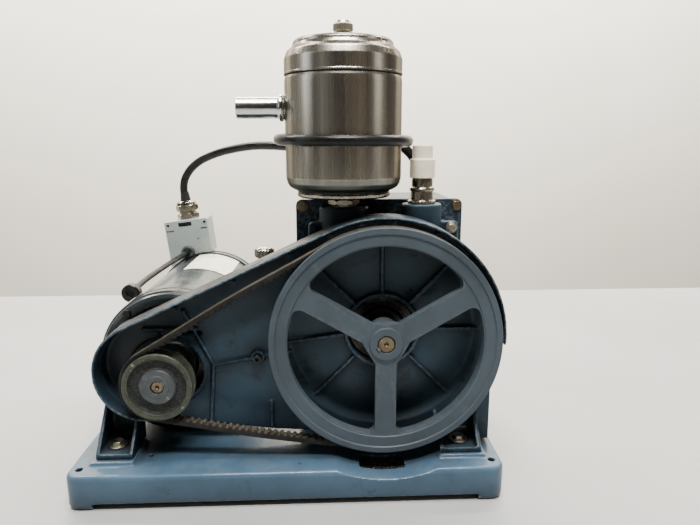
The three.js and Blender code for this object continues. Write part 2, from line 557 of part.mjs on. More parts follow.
/** Round flexible piece along a smooth curve through the points. */
function tube(points, radius, steps, sides) {
  const path = new THREE.CatmullRomCurve3(points.map((p) => new THREE.Vector3(...p)), false, 'centripetal');
  const section = outline(arc(0, 0, radius, 0, 360 - 360 / sides, sides - 1));
  return new THREE.ExtrudeGeometry(section, { steps, extrudePath: path, bevelEnabled: false });
}
piece('motor_lead', tube([[-300, 114.8, 208.2], [-300, 142, 210.5], [-293.6, 212, 214.1], [-284.5, 281.3, 217.2],
  [-281.9, 320, 216.4]], 3.75, 16, 8), RUBBER);

// ---------------------------------------------------------------- belt
/** Points of a belt line at the given distance outside the two pulleys' rims. */
function beltLine(outset) {
  const [r1, r2] = [WHEEL_RADIUS + outset, PULLEY_RADIUS + outset];
  const [dx, dz] = [MOTOR_X, MOTOR_Z - SHAFT_Z];
  const heading = THREE.MathUtils.radToDeg(Math.atan2(dz, dx)) + 360;
  const half = THREE.MathUtils.radToDeg(Math.acos((r1 - r2) / Math.hypot(dx, dz)));
  return [...arc(0, SHAFT_Z, r1, heading + half - 360, heading - half, 36),
    ...arc(MOTOR_X, MOTOR_Z, r2, heading - half, heading + half, 14)];
}

function vBelt() {
  const back = beltLine(-0.6);
  const inner = beltLine(-0.6 - BELT_HEIGHT);
  const rails = [[back, -BELT_TOP], [back, BELT_TOP], [inner, BELT_FOOT], [inner, -BELT_FOOT]];
  const corners = rails.flatMap(([line, y]) => line.flatMap(([x, z]) => [x, BELT_Y + y, z]));
  const count = back.length;
  const faces = [];
  for (let rail = 0; rail < 4; rail += 1) {
    for (let i = 0; i < count; i += 1) {
      const [a, b] = [rail * count + i, rail * count + ((i + 1) % count)];
      const [c, d] = [((rail + 1) % 4) * count + i, ((rail + 1) % 4) * count + ((i + 1) % count)];
      faces.push(a, b, d, a, d, c);
    }
  }
  const geometry = new THREE.BufferGeometry();
  geometry.setAttribute('position', new THREE.BufferAttribute(new Float32Array(corners), 3));
  geometry.setIndex(faces);
  return weld(geometry);
}
piece('v_belt', vBelt(), RUBBER);

// ---------------------------------------------------------------- mains cord
// From the gland behind the filter, once round it from the right, behind it again, down behind the
// intake, over the case's back edge and down to the table, where the rest lies in a coil.
const CORD_ROUTE = [
  [-287.1, 348.4, 297.4], [-289, 347.5, 312.9], [-285.8, 344.2, 328.7], [-276, 339.5, 343.9],
  [-259.5, 332.4, 357.4], [-235.7, 319.1, 367.7], [-212, 302.7, 374.4], [-169.9, 268.7, 381.2],
  [-139.8, 241.9, 381.8], [-109.6, 214.5, 380.3], [-78.3, 187, 379.4], [-43.9, 161.5, 379.5], [-11.9, 141.3, 381],
  [12.4, 122.5, 383.5], [26.8, 94.7, 385.6], [28.2, 63.4, 387], [16.2, 34.5, 387.5],
  [-9.1, 12.2, 387.5], [-43, 3.7, 387.5], [-76.9, 12.2, 387.7], [-102.2, 34.5, 388.2],
  [-114.2, 63.4, 389], [-112.8, 94.7, 390.2], [-98.4, 122.5, 391.8], [-73.6, 141.5, 393.5],
  [-45.5, 148.3, 394.8], [-18, 145.5, 394.3], [6, 139.8, 391.6], [26, 138.6, 384.5],
  [41, 142.8, 373.5], [52.5, 152.5, 359.5], [61.5, 166, 345], [67, 183, 333.5], [70.5, 203, 328],
  [74, 224, 326.5], [76.5, 244, 318], [78.5, 262, 302], [80, 278, 275], [80, 288, 240], [80, 295, 200],
  [80, 299, 150], [80, 301, 104], [80, 301.8, 80], [80, 302.6, 60], [80, 306.6, 38], [80, 317.3, 20.8],
  [80, 333.5, 10.1], [80, 354, 6.1],
];
piece('power_cord', tube(CORD_ROUTE, CORD_RADIUS, 64, 8), RUBBER);
piece('cord_coil', ring('Z', COIL.inner, COIL.outer, 0, COIL.height, 28), RUBBER, pump, [COIL.x, COIL.y, 0]);

function plugShape() {
  const body = extrude('Z', roundRect(-48, 0, -14, 14, 6), 0, 25);
  const blade = (y) => block(-65, -46, y - 0.8, y + 0.8, 10, 16.4);
  return join(body, blade(-6.3), blade(6.3), ring('X', 0, 2.4, -67, -46, 10).translate(0, 0, 5));
}
piece('plug', plugShape(), RUBBER, pump, [COIL.x - 4, COIL.y + 62, COIL.height + GAP]);

// ---------------------------------------------------------------- origin
const CORD_NODES = ['power_cord', 'cord_coil', 'plug'];
pump.updateMatrixWorld(true);
const bounds = new THREE.Box3();
pump.traverse((node) => {
  if (node.isMesh && !CORD_NODES.includes(node.name)) bounds.expandByObject(node, true);
});
const centre = bounds.getCenter(new THREE.Vector3());
pump.position.set(-centre.x, -centre.y, -bounds.min.z);

export default pump;
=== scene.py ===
"""Belt-driven two-stage rotary vane vacuum pump: its looks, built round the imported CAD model.

Shapes are drawn in millimetres in the layout's own axes: X right, Y back, Z up, with X = 0 on the
flywheel's axis, Y = 0 on its front face and Z = 0 under the feet. piece() scales them to metres
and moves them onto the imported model.
"""

import json
import math

import bmesh
import bpy
from mathutils import Matrix, Vector, noise

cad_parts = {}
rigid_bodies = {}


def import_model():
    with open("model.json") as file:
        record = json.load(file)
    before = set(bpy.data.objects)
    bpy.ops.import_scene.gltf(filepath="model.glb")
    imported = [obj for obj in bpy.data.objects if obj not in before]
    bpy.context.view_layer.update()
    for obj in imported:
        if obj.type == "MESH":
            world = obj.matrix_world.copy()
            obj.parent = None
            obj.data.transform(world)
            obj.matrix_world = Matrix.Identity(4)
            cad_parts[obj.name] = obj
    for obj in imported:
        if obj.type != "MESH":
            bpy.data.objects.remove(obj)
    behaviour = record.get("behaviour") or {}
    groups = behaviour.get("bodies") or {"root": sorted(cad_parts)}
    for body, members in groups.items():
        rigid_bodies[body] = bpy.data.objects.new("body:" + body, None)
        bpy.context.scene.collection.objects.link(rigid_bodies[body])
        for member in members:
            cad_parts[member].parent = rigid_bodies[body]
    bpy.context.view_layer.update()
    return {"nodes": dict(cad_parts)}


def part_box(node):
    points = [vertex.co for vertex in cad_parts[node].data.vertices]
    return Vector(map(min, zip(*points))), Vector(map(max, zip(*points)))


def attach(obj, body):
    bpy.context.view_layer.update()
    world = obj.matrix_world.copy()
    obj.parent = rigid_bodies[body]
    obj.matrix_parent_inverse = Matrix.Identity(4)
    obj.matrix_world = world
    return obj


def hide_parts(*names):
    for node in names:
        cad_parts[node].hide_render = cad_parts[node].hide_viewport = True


for leftover in list(bpy.data.objects):
    bpy.data.objects.remove(leftover)
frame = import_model()

# ------------------------------------------------------------------ layout, millimetres
BASE_LEFT, BASE_RIGHT, BASE_FRONT, BASE_BACK, BASE_TOP = -346, 129.6, -25, 290, 39.2
PAD_TOP = BASE_TOP + 4
SHAFT_Z = 172.3
WHEEL_R = 127
BELT_Y = 10.5
MOTOR_X, MOTOR_Z = -247.2, 128
PULLEY_R = 37.9
WHEEL_AT, MOTOR_AT = (0, 0, SHAFT_Z), (MOTOR_X, 0, MOTOR_Z)
BOX_TILT = 6.4
BOX_X, BOX_Z = -265.3, 102.6
INTAKE, FILTER = (47, 76, 0), (-43, 76, 0)
CORD_R = 6
COIL = (0, 400)

base_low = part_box("base")[0]
SHIFT = Vector((base_low.x - BASE_LEFT / 1000, base_low.y - BASE_FRONT / 1000, 0))
TO_ROW = Matrix.Translation(SHIFT) @ Matrix.Scale(0.001, 4)


def row(x, y, z):
    return TO_ROW @ Vector((x, y, z))


# ------------------------------------------------------------------ camera
YAW, PITCH, ROLL = -0.042, 0.2032, -0.0025
camera_data = bpy.data.cameras.new("camera")
camera_data.lens = 579.8 / 700 * 36
camera_data.sensor_width = 36
camera_data.clip_start = 0.01
camera = bpy.data.objects.new("camera", camera_data)
bpy.context.scene.collection.objects.link(camera)
camera.matrix_world = (
    Matrix.Translation(row(-64, -590.3, 385.1))
    @ Matrix.Rotation(YAW, 4, "Z")
    @ Matrix.Rotation(math.pi / 2 - PITCH, 4, "X")
    @ Matrix.Rotation(ROLL, 4, "Z")
)
bpy.context.scene.camera = camera


# ------------------------------------------------------------------ shapes
def shape_as_is(bm):
    mesh = bpy.data.meshes.new("shape")
    bm.to_mesh(mesh)
    bm.free()
    made = bpy.data.objects.new("shape", mesh)
    bpy.context.scene.collection.objects.link(made)
    return made


def shape(bm):
    """A shape whose faces all look outwards."""
    bmesh.ops.recalc_face_normals(bm, faces=bm.faces)
    return shape_as_is(bm)


def drop(made):
    mesh = made.data
    bpy.data.objects.remove(made)
    bpy.data.meshes.remove(mesh)


def settle(made):
    """Turns the modifiers on a shape into its mesh."""
    graph = bpy.context.evaluated_depsgraph_get()
    mesh = bpy.data.meshes.new_from_object(made.evaluated_get(graph))
    made.modifiers.clear()
    old, made.data = made.data, mesh
    bpy.data.meshes.remove(old)
    return made


def combine(made, operation, tools):
    for tool in tools:
        m = made.modifiers.new("combine", "BOOLEAN")
        m.operation, m.object, m.solver = operation, tool, "MANIFOLD"
        settle(made)
        drop(tool)
    return made


def minus(made, *tools):
    return combine(made, "DIFFERENCE", tools)


def plus(made, *tools):
    return combine(made, "UNION", tools)


def common(made, *tools):
    return combine(made, "INTERSECT", tools)


def together(*parts):
    """One shape holding several, as they are."""
    bm = bmesh.new()
    for part in parts:
        bm.from_mesh(part.data)
        drop(part)
    return shape_as_is(bm)


def bevel(made, width, segments=3, angle=40):
    m = made.modifiers.new("bevel", "BEVEL")
    m.width, m.segments, m.limit_method = width, segments, "ANGLE"
    m.angle_limit = math.radians(angle)
    m.miter_outer = "MITER_ARC"
    return settle(made)


def cast(made, voxel, passes=5, factor=0.5):
    """Melts joined parts into one casting, with small fillets at every edge and corner."""
    m = made.modifiers.new("remesh", "REMESH")
    m.mode, m.voxel_size = "VOXEL", voxel
    m = made.modifiers.new("smooth", "SMOOTH")
    m.iterations, m.factor = passes, factor
    return settle(made)


def move(made, x=0, y=0, z=0):
    made.data.transform(Matrix.Translation((x, y, z)))
    return made


def turn(made, axis, degrees):
    made.data.transform(Matrix.Rotation(math.radians(degrees), 4, axis))
    return made


def skin(bm, rings, closed=False, wrap=True):
    """Faces between neighbouring rings of vertices; wrap joins each ring's own two ends."""
    pairs = list(zip(rings, rings[1:], strict=False))
    if closed:
        pairs.append((rings[-1], rings[0]))
    for low, high in pairs:
        count = len(low)
        for k in range(count if wrap else count - 1):
            n = (k + 1) % count
            corners = list(dict.fromkeys((low[k], low[n], high[n], high[k])))
            if len(corners) > 2:
                bm.faces.new(corners)


def capped(bm, rings):
    """A solid from rings of vertices, with a flat face at either end."""
    skin(bm, rings)
    bm.faces.new(rings[0])
    bm.faces.new(rings[-1])
    return shape(bm)


def circle(count):
    """The cosine and sine of evenly spaced steps round a full turn."""
    return [(math.cos(math.tau * k / count), math.sin(math.tau * k / count)) for k in range(count)]


AXES = {
    "X": Matrix(((0, 0, 1, 0), (1, 0, 0, 0), (0, 1, 0, 0), (0, 0, 0, 1))),
    "Y": Matrix(((1, 0, 0, 0), (0, 0, 1, 0), (0, 1, 0, 0), (0, 0, 0, 1))),
    "Z": Matrix.Identity(4),
}


def rounded(profile, radius, closed=False):
    """The profile with its corners rounded; a point may give a radius of its own as third value."""
    steps = 4
    nearly_straight = math.radians(176)
    points = [Vector(p[:2]) for p in profile]
    radii = [p[2] if len(p) > 2 else radius for p in profile]
    count = len(points)
    made = []
    for i, corner in enumerate(points):
        if not closed and i in (0, count - 1):
            made.append(corner)
            continue
        before, after = points[i - 1] - corner, points[(i + 1) % count] - corner
        if min(before.length, after.length) < 1e-6:
            continue
        angle = before.angle(after)
        if radii[i] <= 0 or angle > nearly_straight:
            made.append(corner)
            continue
        reach = min(radii[i] / math.tan(angle / 2), before.length * 0.45, after.length * 0.45)
        start, end = corner + before.normalized() * reach, corner + after.normalized() * reach
        for k in range(steps + 1):
            t = k / steps
            made.append(start * (1 - t) ** 2 + corner * 2 * t * (1 - t) + end * t**2)
    return made


def lathe(profile, axis="Z", at=(0, 0, 0), sides=96, radius=0.5):
    """A turned shape: (radius, height) points, revolved; a profile off the axis closes on itself."""
    closed = profile[0][0] > 0 or profile[-1][0] > 0
    bm = bmesh.new()
    rings = []
    for p in rounded(profile, radius, closed):
        if p.x < 1e-4:
            rings.append([bm.verts.new((0, 0, p.y))] * sides)
        else:
            rings.append([bm.verts.new((p.x * c, p.x * s, p.y)) for c, s in circle(sides)])
    skin(bm, rings, closed)
    bm.transform(Matrix.Translation(at) @ AXES[axis])
    return shape(bm)


def ring(axis, inner, outer, low, high, at=(0, 0, 0), sides=96, radius=0.4):
    profile = [(inner, low), (outer, low), (outer, high), (inner, high)]
    return lathe(profile, axis, at, sides, radius)


def drill(axis, radius, low, high, at=(0, 0, 0), sides=40):
    """A sharp-edged rod to cut a hole with."""
    return ring(axis, 0, radius, low, high, at, sides, 0)


def prism(axis, outline, low, high):
    """An outline pushed along an axis; its own axes are X-Y for Z, X-Z for Y and Y-Z for X."""
    bm = bmesh.new()
    ends = []
    for h in (low, high):
        ends.append([bm.verts.new(AXES[axis] @ Vector((p[0], p[1], h))) for p in outline])
    return capped(bm, ends)


def block(x0, x1, y0, y1, z0, z1):
    return prism("Z", [(x0, y0), (x1, y0), (x1, y1), (x0, y1)], z0, z1)


def arc(x, y, r, start, end, steps):
    return [polar(r, start + (end - start) * i / steps, x, y) for i in range(steps + 1)]


def polar(r, degrees, x=0, y=0):
    """The point at a distance and angle from (x, y)."""
    return (x + r * math.cos(math.radians(degrees)), y + r * math.sin(math.radians(degrees)))


def round_rect(x0, x1, y0, y1, r, steps=8):
    return (
        arc(x1 - r, y0 + r, r, -90, 0, steps)
        + arc(x1 - r, y1 - r, r, 0, 90, steps)
        + arc(x0 + r, y1 - r, r, 90, 180, steps)
        + arc(x0 + r, y0 + r, r, 180, 270, steps)
    )


def plate(axis, x0, x1, y0, y1, corner, low, high, edge=0, steps=8, segments=3):
    """A round-cornered rectangle pushed along an axis, with its two rims bevelled if edge is given."""
    made = prism(axis, round_rect(x0, x1, y0, y1, corner, steps), low, high)
    return bevel(made, edge, segments, 60) if edge else made


def hexagon(r):
    return arc(0, 0, r, 0, 300, 5)


def hex_head(axis, r, low, high, at=(0, 0, 0), top=True, bottom=False):
    """A hexagon with its corners turned down at one end or both."""
    slope = r * 0.18
    chamfer = 0.12 * r
    profile = [(0, low)]
    profile += [(r - slope, low), (r, low + chamfer)] if bottom else [(r + 1, low)]
    profile += [(r, high - chamfer), (r - slope, high)] if top else [(r + 1, high)]
    profile += [(0, high)]
    made = common(prism("Z", hexagon(r), low, high), lathe(profile, "Z", radius=0, sides=72))
    bevel(made, 0.25, 2, 30)
    made.data.transform(Matrix.Translation(at) @ AXES[axis])
    return made


def tube(points, radius, sides=20):
    """A round bar along a dense line of points."""
    line = [Vector(p) for p in points]
    bm = bmesh.new()
    normal = None
    rings = []
    for i, p in enumerate(line):
        ahead = (line[min(i + 1, len(line) - 1)] - line[max(i - 1, 0)]).normalized()
        if normal is None:
            normal = ahead.orthogonal().normalized()
        normal = (normal - ahead * normal.dot(ahead)).normalized()
        side = ahead.cross(normal)
        rings.append([bm.verts.new(p + (normal * c + side * s) * radius) for c, s in circle(sides)])
    return capped(bm, rings)


def curve_through(points, steps):
    """Centripetal Catmull-Rom points through the given ones."""
    line = [Vector(p) for p in points]
    line = [line[0] * 2 - line[1], *line, line[-1] * 2 - line[-2]]
    made = []
    for a, b, c, d in zip(line, line[1:], line[2:], line[3:], strict=False):
        t1 = (b - a).length ** 0.5
        t2 = t1 + (c - b).length ** 0.5
        t3 = t2 + (d - c).length ** 0.5
        for k in range(steps):
            t = t1 + (t2 - t1) * k / steps
            ab = a.lerp(b, t / t1)
            bc = b.lerp(c, (t - t1) / (t2 - t1))
            cd = c.lerp(d, (t - t2) / (t3 - t2))
            abc = ab.lerp(bc, t / t2)
            bcd = bc.lerp(cd, (t - t1) / (t3 - t1))
            made.append(abc.lerp(bcd, (t - t1) / (t2 - t1)))
    made.append(line[-2])
    return made


def piece(name, made, body, material, replaced=(), smooth=35, weighted=True):
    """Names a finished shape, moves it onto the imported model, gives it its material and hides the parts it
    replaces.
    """
    made.name = made.data.name = name
    made.data.transform(TO_ROW)
    made.data.materials.clear()
    made.data.materials.append(material)
    made.data.shade_smooth()
    made.data.set_sharp_from_angle(angle=math.radians(smooth))
    if weighted:
        m = made.modifiers.new("normals", "WEIGHTED_NORMAL")
        m.keep_sharp = True
    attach(made, body)
    if replaced:
        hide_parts(*replaced)
    return made


# ------------------------------------------------------------------ materials
class Look:
    """One node material on a single Principled shader."""

    def __init__(self, name, metallic=0.0, coat=0.0, coat_roughness=0.2, specular=0.5):
        self.material = bpy.data.materials.new(name)
        self.material.use_nodes = True
        self.tree = self.material.node_tree
        self.shader = self.tree.nodes["Principled BSDF"]
        self.shader.inputs["Metallic"].default_value = metallic
        self.shader.inputs["Coat Weight"].default_value = coat
        self.shader.inputs["Coat Roughness"].default_value = coat_roughness
        self.shader.inputs["Specular IOR Level"].default_value = specular
        self.where = self.add("ShaderNodeTexCoord").outputs["Object"]
        self.height = None

    def add(self, kind, **fields):
        node = self.tree.nodes.new(kind)
        for key, value in fields.items():
            setattr(node, key, value)
        return node

    def link(self, value, socket):
        if isinstance(value, bpy.types.NodeSocket):
            self.tree.links.new(value, socket)
        else:
            socket.default_value = value

    def stretched(self, x, y, z):
        node = self.add("ShaderNodeMapping")
        node.inputs["Scale"].default_value = (x, y, z)
        self.link(self.where, node.inputs["Vector"])
        return node.outputs["Vector"]

    def noise(self, scale, detail=4, roughness=0.55, where=None, distortion=0.0):
        node = self.add("ShaderNodeTexNoise")
        self.link(where or self.where, node.inputs["Vector"])
        node.inputs["Scale"].default_value = scale
        node.inputs["Detail"].default_value = detail
        node.inputs["Roughness"].default_value = roughness
        node.inputs["Distortion"].default_value = distortion
        return node.outputs["Fac"]

    def cells(self, scale):
        node = self.add("ShaderNodeTexVoronoi")
        self.link(self.where, node.inputs["Vector"])
        node.inputs["Scale"].default_value = scale
        return node.outputs["Distance"]

    def spread(self, value, low, high, to_low=0.0, to_high=1.0):
        node = self.add("ShaderNodeMapRange", interpolation_type="SMOOTHSTEP")
        self.link(value, node.inputs["Value"])
        node.inputs["From Min"].default_value = low
        node.inputs["From Max"].default_value = high
        node.inputs["To Min"].default_value = to_low
        node.inputs["To Max"].default_value = to_high
        return node.outputs["Result"]

    def maths(self, operation, a, b=0.0):
        node = self.add("ShaderNodeMath", operation=operation)
        self.link(a, node.inputs[0])
        self.link(b, node.inputs[1])
        return node.outputs[0]

    def times(self, a, b):
        return self.maths("MULTIPLY", a, b)

    def plus(self, a, b):
        return self.maths("ADD", a, b)

    def blend(self, amount, a, b):
        node = self.add("ShaderNodeMix", data_type="RGBA")
        self.link(amount, node.inputs[0])
        for value, socket in ((a, node.inputs[6]), (b, node.inputs[7])):
            self.link((*value, 1) if isinstance(value, tuple) else value, socket)
        return node.outputs[2]

    def edges(self, low=0.515, high=0.56):
        return self.spread(self.add("ShaderNodeNewGeometry").outputs["Pointiness"], low, high)

    def hollows(self):
        return self.spread(self.add("ShaderNodeNewGeometry").outputs["Pointiness"], 0.45, 0.49, 1, 0)

    def sheltered(self, distance, low, high):
        """1 where other surfaces crowd round within the distance, 0 out in the open."""
        node = self.add("ShaderNodeAmbientOcclusion", samples=6)
        node.inputs["Distance"].default_value = distance
        return self.spread(node.outputs["AO"], low, high, 1, 0)

    def axis_of_normal(self, axis):
        parts = self.add("ShaderNodeSeparateXYZ")
        self.link(self.add("ShaderNodeTexCoord").outputs["Normal"], parts.inputs[0])
        return parts.outputs["XYZ".index(axis)]

    def facing(self, axis, low, high):
        return self.spread(self.axis_of_normal(axis), low, high)

    def from_axis(self, x, z):
        """Distance in metres from a line along Y through the layout's point (x, z)."""
        centre = row(x, 0, z)
        node = self.add("ShaderNodeMapping")
        node.inputs["Location"].default_value = (-centre.x, 0, -centre.z)
        node.inputs["Scale"].default_value = (1, 0, 1)
        self.link(self.where, node.inputs["Vector"])
        length = self.add("ShaderNodeVectorMath", operation="LENGTH")
        self.link(node.outputs["Vector"], length.inputs[0])
        return length.outputs["Value"]

    def bump(self, height, strength, distance):
        node = self.add("ShaderNodeBump")
        node.inputs["Strength"].default_value = strength
        node.inputs["Distance"].default_value = distance
        self.link(height, node.inputs["Height"])
        if self.height is not None:
            self.link(self.height, node.inputs["Normal"])
        self.height = node.outputs["Normal"]

    def done(self, color, roughness):
        self.link(color, self.shader.inputs["Base Color"])
        self.link(roughness, self.shader.inputs["Roughness"])
        if self.height is not None:
            self.link(self.height, self.shader.inputs["Normal"])
        return self.material


def shade(color, factor):
    return tuple(min(1, c * factor) for c in color)


def paint(
    name, color, roughness=0.4, coat=0.04, grain=0.35, wear=0.6, oil=0.35, dust=0.1, worn=(0.2, 0.24, 0.26),
    grime_and_shade=0.92, reach=0.06, coat_roughness=0.12, top_shade=0.0,
):
    """Sprayed enamel over a casting: mottled, chipped along its edges, and turned near black where sheltered
    and in hollows, a painted shade that partly stands for oil.

    The last argument darkens faces that lean up and to the left nearly to black, in patches: a painted shade.
    """
    look = Look(name, coat=coat, coat_roughness=coat_roughness, specular=0.22)
    dark, light = shade(color, 0.84), shade(color, 1.14)
    base = look.blend(look.spread(look.noise(14, 6), 0.35, 0.68), dark, light)
    base = look.blend(look.spread(look.noise(900, 2), 0.3, 0.7, 0, 0.22), base, dark)
    smears = look.times(look.spread(look.noise(26, 8, 0.62, distortion=0.6), 0.53, 0.72), oil)
    base = look.blend(smears, base, shade(color, 0.32))
    settled = look.times(look.facing("Z", 0.5, 0.95), look.spread(look.noise(60, 8), 0.35, 0.75, 0, dust))
    base = look.blend(settled, base, (0.3, 0.3, 0.28))
    patchy = look.spread(look.noise(38, 7, 0.6, distortion=0.3), 0.3, 0.66, 0.86, 1)
    # Painted shade, partly oil: near black where other surfaces crowd close and in hollows.
    shade_and_oil = look.times(look.sheltered(reach, 0.35, 0.92), patchy)
    shade_and_oil = look.maths("MAXIMUM", look.times(shade_and_oil, grime_and_shade), look.times(look.hollows(), 0.5))
    base = look.blend(shade_and_oil, base, (0.006, 0.007, 0.007))
    # Painted shade: faces that lean up and to the left turned nearly black.
    if top_shade:
        upwards = look.times(look.axis_of_normal("Z"), 0.8)
        leaning = look.maths("SUBTRACT", upwards, look.times(look.axis_of_normal("X"), 0.6))
        patches = look.spread(look.noise(30, 7, 0.6), 0.3, 0.6, top_shade * 0.8, top_shade)
        top_shade_mask = look.times(look.spread(leaning, 0.78, 0.95), patches)
        base = look.blend(top_shade_mask, base, (0.008, 0.011, 0.013))
    chips = look.spread(look.noise(210, 6, 0.6), 0.44, 0.6)
    edges = look.times(look.times(look.edges(), chips), wear)
    nicks = look.spread(look.noise(75, 10, 0.72), 0.735, 0.76)
    edges = look.maths("MAXIMUM", edges, look.times(nicks, wear * 0.8))
    base = look.blend(edges, base, worn)
    rough = look.spread(look.noise(40, 6), 0.3, 0.7, roughness - 0.06, roughness + 0.1)
    rough = look.plus(rough, look.times(smears, -0.2))
    rough = look.plus(rough, look.times(settled, 0.8))
    rough = look.plus(rough, look.times(edges, 0.15))
    look.bump(look.noise(420, 3, 0.6), grain * 0.5, 0.0004)
    look.bump(look.noise(90, 4, 0.5), grain, 0.0009)
    look.bump(look.maths("SUBTRACT", 1.0, edges), 0.25, 0.0003)
    return look.done(base, rough)


def metal(name, color, roughness, stain, stain_amount, scale=400, grain=0.2):
    """Bare or plated metal, stained in patches and hollows and bright along its edges."""
    look = Look(name, metallic=1.0)
    uneven = 0.08
    base = look.blend(look.spread(look.noise(35, 7), 0.3, 0.7), shade(color, 0.82), shade(color, 1.108))
    rough = look.spread(look.noise(70, 7), 0.3, 0.7, roughness - uneven, roughness + uneven)
    patches = look.times(look.spread(look.noise(90, 8, 0.65, distortion=0.4), 0.46, 0.68), stain_amount)
    patches = look.maths("MAXIMUM", patches, look.times(look.hollows(), stain_amount))
    base = look.blend(patches, base, stain)
    rough = look.plus(rough, look.times(patches, uneven * 3))
    base = look.blend(look.times(look.edges(), 0.35), base, shade(color, 1.3))
    look.bump(look.noise(scale, 4), grain * 0.6, 0.0002)
    return look.done(base, rough)


def moulded(
    name, color, roughness, scale=500, grain=0.12, mottle=0.12, dirt=0.15, dirt_color=(0.1, 0.09, 0.07),
    specular=0.5,
):
    """Moulded plastic or rubber with a fine texture, some scuffs and handling dirt."""
    look = Look(name, specular=specular)
    dark = shade(color, 1 - mottle)
    light = tuple(min(1, c * (1 + mottle) + 0.004) for c in color)
    base = look.blend(look.spread(look.noise(30, 6), 0.35, 0.65), dark, light)
    grime_and_shade = look.times(look.spread(look.noise(80, 9, 0.65), 0.5, 0.72), dirt)
    grime_and_shade = look.maths("MAXIMUM", grime_and_shade, look.times(look.hollows(), dirt * 1.6))
    base = look.blend(grime_and_shade, base, dirt_color)
    scuffs = look.spread(look.noise(1, 3, 0.6, look.stretched(300, 60, 500)), 0.62, 0.72, 0, 0.25)
    base = look.blend(scuffs, base, light)
    rough = look.spread(look.noise(45, 6), 0.3, 0.7, roughness - 0.08, roughness + 0.12)
    rough = look.plus(rough, look.times(grime_and_shade, 0.3))
    look.bump(look.noise(scale, 4, 0.6), grain, 0.0003)
    return look.done(base, rough)


casting_paint = paint("casting_paint", (0.026, 0.052, 0.076))
guard_paint = paint("guard_paint", (0.028, 0.056, 0.084), oil=0.85, wear=0.4, grime_and_shade=0.86, top_shade=0.95)
base_paint = paint(
    "base_paint", (0.06, 0.117, 0.182), 0.34, coat=0.3, wear=0.75, oil=0.3, worn=(0.26, 0.32, 0.34),
    coat_roughness=0.08,
)
wheel_paint = paint(
    "wheel_paint", (0.052, 0.07, 0.088), 0.45, grain=0.4, wear=0.15, oil=0.2, dust=0.05,
    worn=(0.15, 0.17, 0.18), grime_and_shade=0.6, reach=0.02,
)
case_paint = paint("case_paint", (0.014, 0.03, 0.05), 0.36, wear=0.25, oil=0.06, dust=0.05, grime_and_shade=0.4)
motor_paint = paint(
    "motor_paint", (0.022, 0.029, 0.032), 0.24, coat=0.16, grain=0.15, wear=0.35, oil=0.2, dust=0.05
)


def pulley_look():
    """A worn pulley: a bronze-green rim, a rough black web and a smooth grey hub."""
    look = Look("pulley_metal", metallic=0.35, specular=0.3)
    reach = look.from_axis(MOTOR_X, MOTOR_Z)
    mottle = look.spread(look.noise(120, 8, 0.65), 0.3, 0.7)
    rim = look.blend(mottle, (0.038, 0.044, 0.034), (0.07, 0.075, 0.058))
    hub = look.blend(mottle, (0.05, 0.058, 0.062), (0.072, 0.084, 0.088))
    rough_cast = look.spread(look.noise(520, 5, 0.7), 0.35, 0.65)
    web = look.blend(rough_cast, (0.012, 0.013, 0.013), (0.055, 0.06, 0.06))
    on_rim, on_web = look.spread(reach, 0.0308, 0.0312), look.spread(reach, 0.0198, 0.0203)
    base = look.blend(on_rim, look.blend(on_web, hub, web), rim)
    worn = look.times(look.edges(0.52, 0.57), look.spread(look.noise(180, 6, 0.6), 0.35, 0.6))
    base = look.blend(look.times(worn, 0.7), base, (0.3, 0.3, 0.24))
    # Painted shade: near black where other surfaces crowd within a centimetre.
    base = look.blend(look.times(look.sheltered(0.01, 0.3, 0.85), 0.7), base, (0.008, 0.008, 0.007))
    pits = look.times(look.times(on_web, look.maths("SUBTRACT", 1.0, on_rim)), look.noise(560, 5, 0.7))
    look.bump(pits, 1.0, 0.0016)
    look.bump(look.noise(300, 4), 0.25, 0.0004)
    return look.done(base, look.spread(look.noise(90, 6), 0.3, 0.7, 0.3, 0.5))


def filter_look():
    """Spun stainless steel with soft upright streaks; duller and darkened with painted shade where it turns
    downwards, and darkened a little where it faces up.
    """
    look = Look("filter_steel", metallic=1.0)
    look.shader.inputs["Specular Tint"].default_value = (0.3, 0.3, 0.3, 1)
    broad = look.noise(1, 2, 0.5, look.stretched(75, 75, 1.5))
    fine = look.noise(1, 5, 0.6, look.stretched(420, 420, 4))
    base = look.blend(look.spread(broad, 0.36, 0.64), (0.33, 0.305, 0.265), (0.56, 0.52, 0.45))
    base = look.blend(look.spread(fine, 0.35, 0.65, 0, 0.4), base, (0.26, 0.24, 0.205))
    marks = look.spread(look.noise(24, 9, 0.66, distortion=0.3), 0.6, 0.74, 0, 0.3)
    base = look.blend(marks, base, (0.2, 0.18, 0.15))
    # Painted shade: faces that turn downwards darkened nearly to black.
    under = look.spread(look.axis_of_normal("Z"), -0.32, -0.01, 0.92, 0)
    base = look.blend(under, base, (0.075, 0.085, 0.08))
    # Painted shade: faces that look up are darkened.
    above = look.spread(look.axis_of_normal("Z"), 0.35, 0.85, 0, 0.7)
    base = look.blend(above, base, (0.15, 0.142, 0.125))
    look.bump(fine, 0.02, 0.0002)
    rough = look.plus(look.spread(fine, 0.35, 0.65, 0.25, 0.28), look.times(under, 0.1))
    return look.done(base, rough)


